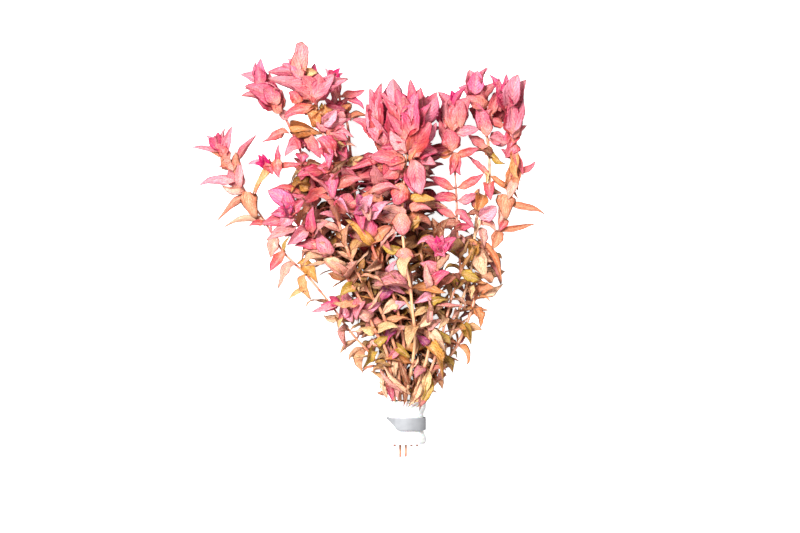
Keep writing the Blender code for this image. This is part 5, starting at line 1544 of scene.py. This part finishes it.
def mottleIn(tree, patch, grain, low, high):
    return groupIn(tree, mottle, {"Patch": patch, "Grain": grain, "Low": low, "High": high})


def readValues(tree, label):
    found = addNode(tree, "ShaderNodeAttribute", attribute_name=label)
    return addNode(tree, "ShaderNodeSeparateXYZ", {0: found.outputs["Vector"]}).outputs


leafLook = {
    "byAge": ((0.0, (0.70, 0.01, 0.17)), (0.05, (0.70, 0.05, 0.21)), (0.12, (0.68, 0.09, 0.18)),
              (0.22, (0.66, 0.11, 0.11)), (0.34, (0.58, 0.12, 0.06)), (0.5, (0.50, 0.15, 0.04)),
              (0.75, (0.44, 0.19, 0.03)), (1.0, (0.44, 0.22, 0.04))),
    "youngTones": ((0.0, (0.72, 0.06, 0.18)), (0.14, (0.60, 0.035, 0.085)), (0.28, (0.76, 0.13, 0.12)),
                   (0.42, (0.70, 0.10, 0.05)), (0.56, (0.80, 0.26, 0.13)), (0.66, (0.20, 0.008, 0.015)),
                   (0.76, (0.74, 0.025, 0.19)), (0.86, (0.80, 0.16, 0.34)), (0.93, (0.80, 0.38, 0.56)),
                   (1.0, (0.20, 0.04, 0.18))),
    "oldTones": ((0.0, (0.50, 0.15, 0.22)), (0.12, (0.60, 0.17, 0.06)), (0.26, (0.66, 0.30, 0.04)),
                 (0.42, (0.38, 0.27, 0.015)), (0.56, (0.70, 0.45, 0.15)), (0.66, (0.17, 0.03, 0.018)),
                 (0.78, (0.75, 0.34, 0.11)), (0.9, (0.74, 0.30, 0.25)), (1.0, (0.90, 0.57, 0.36))),
    # each from young to old
    # the colour of bleached leaves; the leaf material also uses it for painted wet highlights in streaks
    # and a painted glow of light through the middle of the blade
    "pale": ((0.93, 0.43, 0.47), (0.89, 0.57, 0.34)),
    # painted highlights: pale wet-looking glints, young and old
    "paintedGlint": ((0.98, 0.76, 0.78), (0.95, 0.82, 0.66)),
    "margin": ((0.34, 0.01, 0.045), (0.20, 0.06, 0.015)),
    # painted shade: the colour a leaf takes where other leaves cover it, young and old
    "deep": ((0.26, 0.004, 0.02), (0.09, 0.017, 0.008)),
    "underside": (0.62, 0.20, 0.18),
    "base": (0.85, 0.35, 0.15),
    "tip": (0.80, 0.12, 0.25),
    "midrib": (0.84, 0.36, 0.20),
    "dryTip": (0.28, 0.16, 0.10),
}


def makeLeafMaterial():
    look = leafLook
    made, tree, shader = newMaterial("leafTissue", {
        "Subsurface Weight": 0.08, "Subsurface Scale": 0.0008, "Subsurface Radius": (1.0, 0.35, 0.25),
        "Coat Roughness": 0.16, "IOR": 1.42, "Specular IOR Level": 0.14,
    })
    along, across, under = readValues(tree, "blade")
    age, tone, pale = readValues(tree, "tone")
    paintedCoverShade = addNode(tree, "ShaderNodeAttribute", attribute_name="paintedCoverShade").outputs["Fac"]
    lines = groupIn(tree, veins, {"Along": along, "Across": across, "Pairs": 8.0, "Lean": 0.4,
                                  "Width": 0.22})
    rims = groupIn(tree, rim, {"Along": along, "Across": across, "Margin": 0.76, "Tip": 0.84})
    broad = mottleIn(tree, 260.0, 900.0, 0.4, 0.62)
    spots = mottleIn(tree, 560.0, 1300.0, 0.5, 0.66)
    lengthwise = addNode(tree, "ShaderNodeCombineXYZ", {
        0: product(tree, along, 2.4), 1: product(tree, across, 3.2),
        2: product(tree, total(tree, tone, pale), 37.0),
    }).outputs[0]
    streaks = noiseAt(tree, lengthwise, 2.6, 4.0, Roughness=0.6, Distortion=0.4)
    narrow = addNode(tree, "ShaderNodeVectorMath", {0: lengthwise, 1: (0.6, 2.2, 1.0)},
                     operation="MULTIPLY").outputs[0]
    scratches = noiseAt(tree, narrow, 2.6, 2.0, Roughness=0.5, Distortion=0.7)

    old = ranged(tree, age, 0.25, 0.6)
    young = maths(tree, "SUBTRACT", 1.0, old)
    opened = ranged(tree, age, 0.0, 0.14, 0.15, 1.0)    # a crown's heart keeps its pure colour
    light, paintedHighlight, dark = (blended(tree, old, *look[label]) for label in ("pale", "paintedGlint", "margin"))
    # painted shade colour for covered leaves
    deep = blended(tree, ranged(tree, age, 0.2, 0.6), *look["deep"])
    warm = product(tree, ranged(tree, along, 0.1, 0.55, 0.7, 0.0), young, ranged(tree, age, 0.0, 0.12),
                   ranged(tree, tone, 0.7, 0.84, 1.0, 0.3))
    cool = product(tree, ranged(tree, along, 0.45, 0.9, 0.0, 0.5), young, opened)
    colour = layered(
        tree, ramp(tree, age, look["byAge"]),
        (ranged(tree, age, 0.03, 0.14, 0.0, 0.92), ramp(tree, tone, look["youngTones"])),
        (ranged(tree, age, 0.26, 0.6, 0.0, 0.92), ramp(tree, tone, look["oldTones"])),
        (warm, look["base"]),
        (cool, look["tip"]),
        (ranged(tree, pale, 0.55, 1.0, 0.0, 0.66), light))
    dim = product(tree, ranged(tree, pale, 0.0, 0.35, 0.66, 1.0),
                  ranged(tree, age, 0.25, 0.6, 1.0, 1.22))
    colour = addNode(tree, "ShaderNodeHueSaturation", {"Value": dim, "Color": colour}).outputs[0]

    # painted glow of light through the thin middle of the blade
    middle = ranged(tree, maths(tree, "ABSOLUTE", across), 0.1, 0.7, 0.25, 0.0)
    # share of the painted highlights, which fades where other leaves cover the point
    paintedGlintShare = product(tree, ranged(tree, paintedCoverShade, 0.0, 0.6, 0.6, 0.05), opened)
    colour = layered(
        tree, colour,
        # pale streaks, partly the leaf's own pattern and partly painted wet highlights, then the painted
        # glow in the middle
        (product(tree, ranged(tree, streaks, 0.5, 0.68, 0.0, 0.48), opened), light),
        (product(tree, middle, opened), light),
        (ranged(tree, streaks, 0.3, 0.47, 0.56, 0.0), dark),
        (product(tree, ranged(tree, along, 0.0, 0.35, 0.35, 0.0), old), dark),
        (ranged(tree, scratches, 0.32, 0.47, 0.65, 0.0), dark),
        (product(tree, lines["Veins"], 0.36), dark),
        (product(tree, lines["Midrib"], 0.35), look["midrib"]),
        (product(tree, under, 0.28), look["underside"]),
        # painted shade where other leaves cover the point
        (ranged(tree, paintedCoverShade, 0.25, 1.0, 0.0, 0.6), deep),
        # painted highlights on the pale streaks and on the fine grain
        (product(tree, ranged(tree, streaks, 0.62, 0.76), paintedGlintShare), paintedHighlight),
        (product(tree, ranged(tree, spots["Grain"], 0.56, 0.68, 0.0, 0.3), paintedGlintShare), paintedHighlight),
        (product(tree, rims["Edge"], ranged(tree, broad["Grain"], 0.38, 0.56, 0.35, 1.0)), dark),
        (ranged(tree, spots["Grain"], 0.34, 0.46, 0.32, 0.0), dark),
        (product(tree, rims["Tip"], ranged(tree, age, 0.05, 0.5, 0.15, 0.8)), look["dryTip"]))
    linkAll(tree, shader.inputs, {
        "Base Color": colour,
        "Roughness": ranged(tree, spots["Patches"], 0.0, 1.0, 0.5, 0.28),
        "Coat Weight": product(tree, ranged(tree, tone, 0.2, 0.8, 0.04, 0.16), broad["Patches"]),
    })
    raised = total(tree, product(tree, lines["Veins"], -0.6), product(tree, spots["Grain"], 0.5),
                   product(tree, spots["Patches"], 0.8))
    addBump(tree, shader, raised, 0.7, 0.0004)
    return made


stalkLook = {
    "byAge": ((0.0, (0.72, 0.12, 0.12)), (0.25, (0.76, 0.20, 0.14)), (0.6, (0.82, 0.31, 0.18)),
              (1.0, (0.70, 0.31, 0.17))),
    "node": (0.42, 0.07, 0.045),
    "pale": (0.95, 0.56, 0.38),
    "cream": (0.95, 0.62, 0.32),
    "ribs": 8,
}


def makeStalkMaterial():
    made, tree, shader = newMaterial("stemSkin", {
        "Roughness": 0.4, "Subsurface Weight": 0.15, "Subsurface Scale": 0.001,
        "Subsurface Radius": (1.0, 0.5, 0.3), "Coat Weight": 0.25, "Coat Roughness": 0.2,
    })
    along, around, ring = readValues(tree, "blade")
    pale = readValues(tree, "tone")[2]
    spots = mottleIn(tree, 260.0, 2600.0, 0.45, 0.7)
    colour = layered(
        tree, ramp(tree, along, stalkLook["byAge"]),
        (product(tree, pale, 0.6), stalkLook["cream"]),
        (product(tree, spots["Patches"], 0.5), stalkLook["pale"]),
        (product(tree, ring, 0.62), stalkLook["node"]))
    linkAll(tree, shader.inputs, {"Base Color": colour})
    ribs = maths(tree, "SINE", product(tree, around, stalkLook["ribs"] * math.tau))
    addBump(tree, shader, total(tree, product(tree, ribs, 0.3), spots["Grain"]), 0.4, 0.0002)
    return made


# Foam wrap and lead strip

strip = {
    "width": 9,
    "thickness": 0.7,
    "gap": 0.3,
    "turnGap": 0.35,
    "overlapDegrees": 62,
    "startDegrees": 58,
    "climbFromDegrees": 260,
    "climbOverDegrees": 90,
    "steps": 132,
    "columns": 10,
    "rounding": 0.18,
    "dent": 0.16,
    "dentScale": (22, 1.6),    # along it and across it
    "waver": 0.3,
    "waverScale": 14,
    "leftCut": 6.2,        # how far its lower edge rises on the left
    "leftRun": (0.3, 0.7),
    "topCut": 1.5,         # how far its upper edge comes down
    "colour": (0.33, 0.335, 0.35),
    "dull": (0.24, 0.245, 0.26),
    "worn": (0.42, 0.43, 0.45),
}


def makeFoamMaterial():
    made, tree, shader = newMaterial("foamCells", {
        "Roughness": 0.95, "Subsurface Weight": 0.2, "Subsurface Scale": 0.002,
    })
    where = addNode(tree, "ShaderNodeTexCoord").outputs["Object"]
    spots = mottleIn(tree, 160.0, 1900.0, 0.4, 0.7)
    cells = addNode(tree, "ShaderNodeTexVoronoi", {"Vector": where, "Scale": 1 / (foam["cellSize"] * mm)},
                    feature="DISTANCE_TO_EDGE").outputs["Distance"]
    pore = ranged(tree, cells, 0.02, 0.22, 1.0, 0.0)
    colour = layered(
        tree, foam["colour"],
        (product(tree, spots["Patches"], 0.25), foam["patchColour"]),
        # painted shade: darker in the hollows of the cells, away from their walls
        (maths(tree, "SUBTRACT", 0.25, product(tree, pore, 0.25)), foam["poreShade"]))
    linkAll(tree, shader.inputs, {"Base Color": colour})
    addBump(tree, shader, total(tree, pore, product(tree, spots["Grain"], 0.4)), 0.7, 0.0004)
    return made


def makeLeadMaterial():
    made, tree, shader = newMaterial("leadSheet", {"Metallic": 0.25, "Specular IOR Level": 0.25})
    where = addNode(tree, "ShaderNodeTexCoord").outputs["Object"]
    spots = mottleIn(tree, 220.0, 3000.0, 0.35, 0.7)
    stretched = addNode(tree, "ShaderNodeMapping", {"Vector": where, "Scale": (120, 2600, 120)})
    streaks = noiseAt(tree, stretched.outputs[0], 1.0, 4.0)
    colour = layered(
        tree, strip["colour"],
        (product(tree, spots["Patches"], 0.5), strip["dull"]),
        (product(tree, streaks, 0.3), strip["worn"]))
    linkAll(tree, shader.inputs, {
        "Base Color": colour,
        "Roughness": ranged(tree, streaks, 0.3, 0.7, 0.55, 0.75),
    })
    addBump(tree, shader, total(tree, streaks, product(tree, spots["Patches"], 0.6)), 0.4, 0.0002)
    return made


def foamBlock():    # the foam's outside, squeezed under the strip and flat underneath
    rings, sides = foam["rings"], foam["sides"]
    waist = (strip["width"] + 2 * strip["gap"]) / foam["length"]
    block, loops = bmesh.new(), []
    for i in range(rings + 1):
        along = mix(-1, 1, i / rings)
        away = abs(along) - waist
        narrowed = mix(1.0, foam["rim"], eased((abs(along) - foam["rimFrom"]) / (1 - foam["rimFrom"])))
        squeeze = mix(foam["waist"], 1.0, eased(away / foam["shoulder"])) * narrowed
        free = eased(away / foam["lumpRun"])
        lowest = mix(strip["thickness"] + strip["gap"], 0.0, eased(away / foam["restRun"]))
        y = foam["centre"][1] + along * foam["length"] / 2
        loop, (across, lengthwise) = [], foam["lumpScale"]
        for k in range(sides):
            turn = math.tau * k / sides
            bumped = Vector((math.cos(turn) * across, y * lengthwise, math.sin(turn) * across))
            lump = 1 + free * foam["lump"] * (noise.noise(bumped) - 0.4)
            x = foam["centre"][0] + foam["halfWidth"] * squeeze * lump * math.cos(turn)
            z = bundle["height"] + foam["halfHeight"] * squeeze * lump * math.sin(turn)
            loop.append(block.verts.new(inFrame(Vector((x, y, max(z, lowest))))))
        loops.append(loop)
    for lower, upper in zip(loops, loops[1:]):
        for k in range(sides):
            j = (k + 1) % sides
            block.faces.new((lower[k], lower[j], upper[j], upper[k]))
    block.faces.new(loops[0])
    block.faces.new(loops[-1])
    bmesh.ops.recalc_face_normals(block, faces=block.faces)
    mesh = bpy.data.meshes.new("foamWrap")
    block.to_mesh(mesh)
    block.free()
    return newObject("foamWrap", mesh)


def foamBores():    # a drill for each stem
    bores = bmesh.new()
    radius = (stalk["radius"] + foam["boreGap"]) * mm
    for name, stem in stems.items():
        if "slot" in stem:
            drill = bmesh.ops.create_cone(bores, cap_ends=True, segments=20, radius1=radius,
                                          radius2=radius, depth=(foam["length"] + 6) * mm)
            turned = Matrix.Translation(inFrame(slotPlace(name, foam["centre"][1])))
            turned = turned @ Matrix.Rotation(math.pi / 2, 4, "X")
            bmesh.ops.transform(bores, matrix=turned, verts=drill["verts"])
    mesh = bpy.data.meshes.new("bores")
    bores.to_mesh(mesh)
    bores.free()
    return newObject("bores", mesh)


def makeFoam(material):
    made, cutter = foamBlock(), foamBores()
    cut = made.modifiers.new("bores", "BOOLEAN")
    cut.operation = "DIFFERENCE"
    cut.solver = "EXACT"
    cut.object = cutter
    graph = bpy.context.evaluated_depsgraph_get()
    bored = bpy.data.meshes.new_from_object(made.evaluated_get(graph))
    made.modifiers.clear()
    made.data = bored
    bored.materials.clear()
    bored.materials.append(material)
    bored.shade_smooth()
    bored.set_sharp_from_angle(angle=math.radians(50))
    bpy.data.objects.remove(cutter)
    return made


def stripPoints():    # its outer and inner side in turn, flat underneath, dented and with wavering edges
    points, turn = [], 360 + strip["overlapDegrees"]
    for i in range(strip["steps"] + 1):
        share = i / strip["steps"]
        angle = math.radians(strip["startDegrees"] + turn * share)
        climbed = eased((turn * share - strip["climbFromDegrees"]) / strip["climbOverDegrees"])
        climb = (strip["thickness"] + strip["turnGap"]) * climbed
        waver = strip["waver"] * noise.noise(Vector((share * strip["waverScale"], 3.1, 0)))
        seen = eased(math.sin(angle) * 2 + 2)
        start, run = strip["leftRun"]
        cut = strip["leftCut"] * eased((-math.cos(angle) - start) / run) * seen
        for more in (strip["thickness"], 0):
            for k in range(strip["columns"] + 1):
                across = mix(-1, 1, k / strip["columns"])
                rounding = strip["rounding"] * abs(across) ** 12 * (1 if more == 0 else -1)
                along, wide = strip["dentScale"]
                dented = noise.noise(Vector((share * along, across * wide, 9.7)))
                dent = strip["dent"] * max(0, dented)
                dent *= 0.5 + 0.5 * math.sin(math.pi * share)
                added = strip["gap"] + climb + more + dent + rounding
                x = (foam["halfWidth"] * foam["waist"] + added) * math.cos(angle)
                z = (foam["halfHeight"] * foam["waist"] + added) * math.sin(angle)
                z = max(z, strip["thickness"] - more - bundle["height"])
                y = foam["centre"][1] + across * strip["width"] / 2 + waver + cut * (1 - across) / 2
                y -= strip["topCut"] * seen * (1 + across) / 2
                points.append(Vector((foam["centre"][0] + x, y, bundle["height"] + z)))
    return points


def makeStrip(material):
    points, faces = stripPoints(), []
    steps, columns = strip["steps"], strip["columns"]
    row = columns + 1
    for i in range(steps):
        a, b = 2 * row * i, 2 * row * (i + 1)
        for k in range(columns):
            faces.append((a + k, a + k + 1, b + k + 1, b + k))
            faces.append((a + row + k + 1, a + row + k, b + row + k, b + row + k + 1))
        faces.append((a, b, b + row, a + row))
        faces.append((a + columns, a + row + columns, b + row + columns, b + columns))
    for a in (0, 2 * row * steps):
        for k in range(columns):
            faces.append((a + k, a + k + 1, a + row + k + 1, a + row + k))
    winding = Piece()
    winding.add(points, faces, [(0, 0, 0)] * len(points), (0, 0, 0), 0)
    made = winding.build("leadStrip", [material])
    made.data.set_sharp_from_angle(angle=math.radians(40))
    return made


# Where the leaves go

fillOrder = ("08", "11", "04", "13", "12", "10", "02", "06", "01", "14", "07", "03", "05", "09", "15")
keptBelow = 4    # a crown keeps the solid's leaves up to this far above its foot

solidLeaves, added, eyeLeaves = {}, {}, {}
placed = []    # search trees of what the added leaves keep clear of
for name in stems:
    for node, leaves, widths in (
        ("crown_" + name, crownLeaves(name), (1, growth["crowdedWidth"])),
        ("stem_" + name, stemLeaves(name), (1,)),
    ):
        corners = nodeCorners(node)
        found = [leafOfSolid(leaf, corners, widths) for leaf in leaves]
        solidLeaves[node] = [leaf for leaf in found if leaf]
        placed += [leafTree(leaf) for leaf in solidLeaves[node]]
    placed.append(tubeTree(routes[name]))
for node in ("foam_wrap", "lead_strip"):
    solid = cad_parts[node].data
    placed.append(treeOf([inDrawing(v.co) for v in solid.vertices],
                         [tuple(face.vertices) for face in solid.polygons]))
print("leaves of the solids:", sum(len(found) for found in solidLeaves.values()))

for name in fillOrder:
    added[name] = addedLeaves(name, placed, beside)
    if "dense" in stems[name]:
        added[name] += addedLeaves(name, placed, under)
for name, stem in stems.items():
    highest = -99 if "bareCrown" in stem else routes[name].path[-1].z + keptBelow
    youngest = ageAt(stem.get("eyeRun", -1))
    eyeLeaves["stem_" + name] = portraitLeaves("5" + name, stemPortraits.get(name, ()), aimOf(name))
    eyeLeaves["crown_" + name] = portraitLeaves(name, crownPortraits[name], aimOf(name))
    crown, own = solidLeaves["crown_" + name], solidLeaves["stem_" + name]
    crown[:] = [leaf for leaf in crown if leaf["tip"].z < highest]
    own[:] = [leaf for leaf in own if leaf["age"] > youngest]
    added[name] = [leaf for leaf in added[name] if leaf["age"] > youngest and not hidesStem(leaf)]
print("leaves added:", sum(len(found) for found in added.values()))


# How far other leaves cover each leaf: painted into its colour as shade, with fewer painted highlights
# there

cover = {"reach": 34, "start": 1.3, "tilt": 48, "rays": 6}


def makeCoverTree():    # a search tree of all leaves
    points, faces = [], []
    for name in stems:
        leaves = solidLeaves["stem_" + name] + solidLeaves["crown_" + name] + added[name]
        for leaf in leaves + eyeLeaves["stem_" + name] + eyeLeaves["crown_" + name]:
            rings = solidRings(leaf)
            first = len(points)
            points += [rings[0][0], *(corner for ring in rings[1:-1] for corner in ring[::2]), rings[-1][0]]
            last = len(points) - 1
            for i in range(first + 1, last - 2, 2):
                faces.append((i, i + 1, i + 3, i + 2))
            faces += [(first, first + 1, first + 2), (last, last - 1, last - 2)]
    return BVHTree.FromPolygons(points, faces)


coverTree = makeCoverTree()
coverRays = [skyward.copy()]
for k in range(cover["rays"]):
    tilt, turn = math.radians(cover["tilt"]), math.tau * k / cover["rays"]
    coverRays.append(Vector((math.sin(tilt) * math.cos(turn), math.sin(tilt) * math.sin(turn),
                             math.cos(tilt))))


def paintedCoverShadeAt(point):    # 0 in the open, 1 deep under the other leaves; the leaf material paints this as shade
    hidden = [ray for ray in coverRays
              if coverTree.ray_cast(point + ray * cover["start"], ray, cover["reach"])[0]]
    return len(hidden) / len(coverRays)


# Building

def rootShift(name, leaf):    # from the solid's straight run to the smooth stem
    near = min(smoothRoutes[name].path, key=lambda p: (p - leaf["base"]).length_squared)
    return near - leaf["base"]


def addStemTube(piece, name):
    stem, smooth = stems[name], smoothRoutes[name]
    share = stem.get("slim", 1) * (1 if "slot" in stem else stalk["sideShootShare"])
    marks = [smooth.length - (routes[name].length - d) for d in pairPlaces(name)]
    marks += [smooth.length - down for down, _, _ in stem.get("drawn", ())]

    def nearPair(mark):
        gap = min((abs(mark - m) for m in marks), default=99)
        return math.exp(-(gap / stalk["swellingLength"]) ** 2)

    def radiusAt(mark):
        tapered = mix(1.0, stalk["tipTaper"], mark / smooth.length)
        if "slot" in stem:
            start, run = stalk["cutRun"]
            tapered *= mix(stalk["cutShare"], 1, eased((mark - start) / run))
        return stalk["radius"] * share * tapered * (1 + stalk["swelling"] * nearPair(mark))

    def redAt(mark):    # red where leaves grow and at the cut end
        return max(nearPair(mark), eased(1.6 - mark / 2)) if "slot" in stem else nearPair(mark)

    path = [p.copy() for p in smooth.path]
    if "branchOf" in stem:
        parent = smoothRoutes[stem["branchOf"]]
        path.insert(0, min(parent.path, key=lambda p: (p - path[0]).length_squared).copy())
    path.append(path[-1] + aimOf(name) * stalk["crownRun"] * stem["size"])
    addStalk(piece, path, radiusAt, lambda mark: ageAt(smooth.length - mark), redAt,
             1.0 if "pale" in stem else 0.0)


def makeStem(name):
    stem, leafy = stems[name], Piece()
    addStemTube(leafy, name)
    own = solidLeaves["stem_" + name] + added[name] + eyeLeaves["stem_" + name]
    for i, leaf in enumerate(own):
        leaf["bleached"] = stem.get("bleached", 0)
        leaf["aged"] = 0 if "paleness" in leaf else stem.get("aged", 0)
        shift = Vector() if "paleness" in leaf else rootShift(name, leaf)
        addBlade(leafy, leaf, f"stem{name}leaf{i}", shift)
    made = leafy.build("leafyStem_" + name, [leafTissue, stemSkin])
    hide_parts("stem_" + name)
    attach(made, "root")
    return leafy.triangles()


def makeCrown(name):
    crown = Piece()
    drawn = solidLeaves["crown_" + name] + eyeLeaves["crown_" + name] + budLeaves(name)
    for i, leaf in enumerate(drawn):
        leaf["bleached"] = stems[name].get("bleached", 0)
        addBlade(crown, leaf, f"crown{name}leaf{i}")
    made = crown.build("crownLeaves_" + name, [leafTissue])
    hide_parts("crown_" + name)
    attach(made, "root")
    return crown.triangles()


veins, rim, mottle = makeVeins(), makeRim(), makeMottle()
leafTissue = makeLeafMaterial()
stemSkin = makeStalkMaterial()
print("materials made")
print("stems and crowns made, triangles:", sum(makeStem(name) + makeCrown(name) for name in stems))

foamWrap = makeFoam(makeFoamMaterial())
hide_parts("foam_wrap")
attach(foamWrap, "root")
leadStrip = makeStrip(makeLeadMaterial())
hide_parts("lead_strip")
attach(leadStrip, "root")
print("foam and strip made")


# Table, lights and camera

studio = {
    "floorSize": 8.0,
    "floorColour": (0.94, 0.94, 0.94),
    "floorSeen": 0.85,         # how much brighter the table looks than what it throws back
    "floorThrown": (0.42, 0.42, 0.42),
    "worldStrength": 0.5,
    "key": {"location": (-0.55, 0.45, 1.4), "size": 0.5, "energy": 46},
    "fill": {"location": (0.9, -0.5, 1.1), "size": 1.0, "energy": 5},
    "picture": (800, 533),
    "pictureZero": (367.5, 252),    # the drawing's origin in the picture
    "perPixel": 0.6,           # millimetres of the drawing for each pixel
    "sharpHeight": 20,         # height at which that scale holds
    "cameraDistance": 1200,
    "sensor": 36,
}


def makeFloor():
    made, tree, shader = newMaterial("paleTable", {"Roughness": 0.8, "Emission Strength": 1})
    grain = mottleIn(tree, 6.0, 900.0, 0.3, 0.7)
    colour = blended(tree, product(tree, grain["Patches"], 0.02), studio["floorColour"], (1.0, 1.0, 1.0))
    seen = addNode(tree, "ShaderNodeLightPath").outputs["Is Camera Ray"]
    linkAll(tree, shader.inputs, {
        "Base Color": blended(tree, seen, studio["floorThrown"], colour),
        "Emission Color": blended(tree, seen, (0.0, 0.0, 0.0), (studio["floorSeen"],) * 3),
    })
    bpy.ops.mesh.primitive_plane_add(size=studio["floorSize"])
    floor = bpy.context.object
    floor.name = "table"
    floor.data.materials.append(made)
    return floor


def makeLight(name):
    wanted = studio[name]
    light = bpy.data.lights.new(name, "AREA")
    light.shape = "DISK"
    light.size = wanted["size"]
    light.energy = wanted["energy"]
    made = newObject(name, light)
    made.location = wanted["location"]
    made.rotation_euler = (-Vector(wanted["location"])).to_track_quat("-Z", "Y").to_euler()


def makeCamera():
    width, height = studio["picture"]
    zeroX, zeroY = studio["pictureZero"]
    centre = Vector(((width / 2 - zeroX) * studio["perPixel"],
                     (zeroY - height / 2) * studio["perPixel"],
                     studio["sharpHeight"] + studio["cameraDistance"]))
    camera = bpy.data.cameras.new("camera")
    camera.sensor_width = studio["sensor"]
    camera.lens = studio["sensor"] * studio["cameraDistance"] / (width * studio["perPixel"])
    camera.clip_end = 20
    made = newObject("camera", camera)
    made.location = inFrame(centre)
    return made


makeFloor()
makeLight("key")
makeLight("fill")
world = bpy.data.worlds.new("studio")
world.use_nodes = True
world.node_tree.nodes["Background"].inputs["Color"].default_value = (1, 1, 1, 1)
world.node_tree.nodes["Background"].inputs["Strength"].default_value = studio["worldStrength"]
bpy.context.scene.world = world
bpy.context.scene.view_settings.view_transform = "Standard"
bpy.context.scene.camera = makeCamera()
print("studio made")
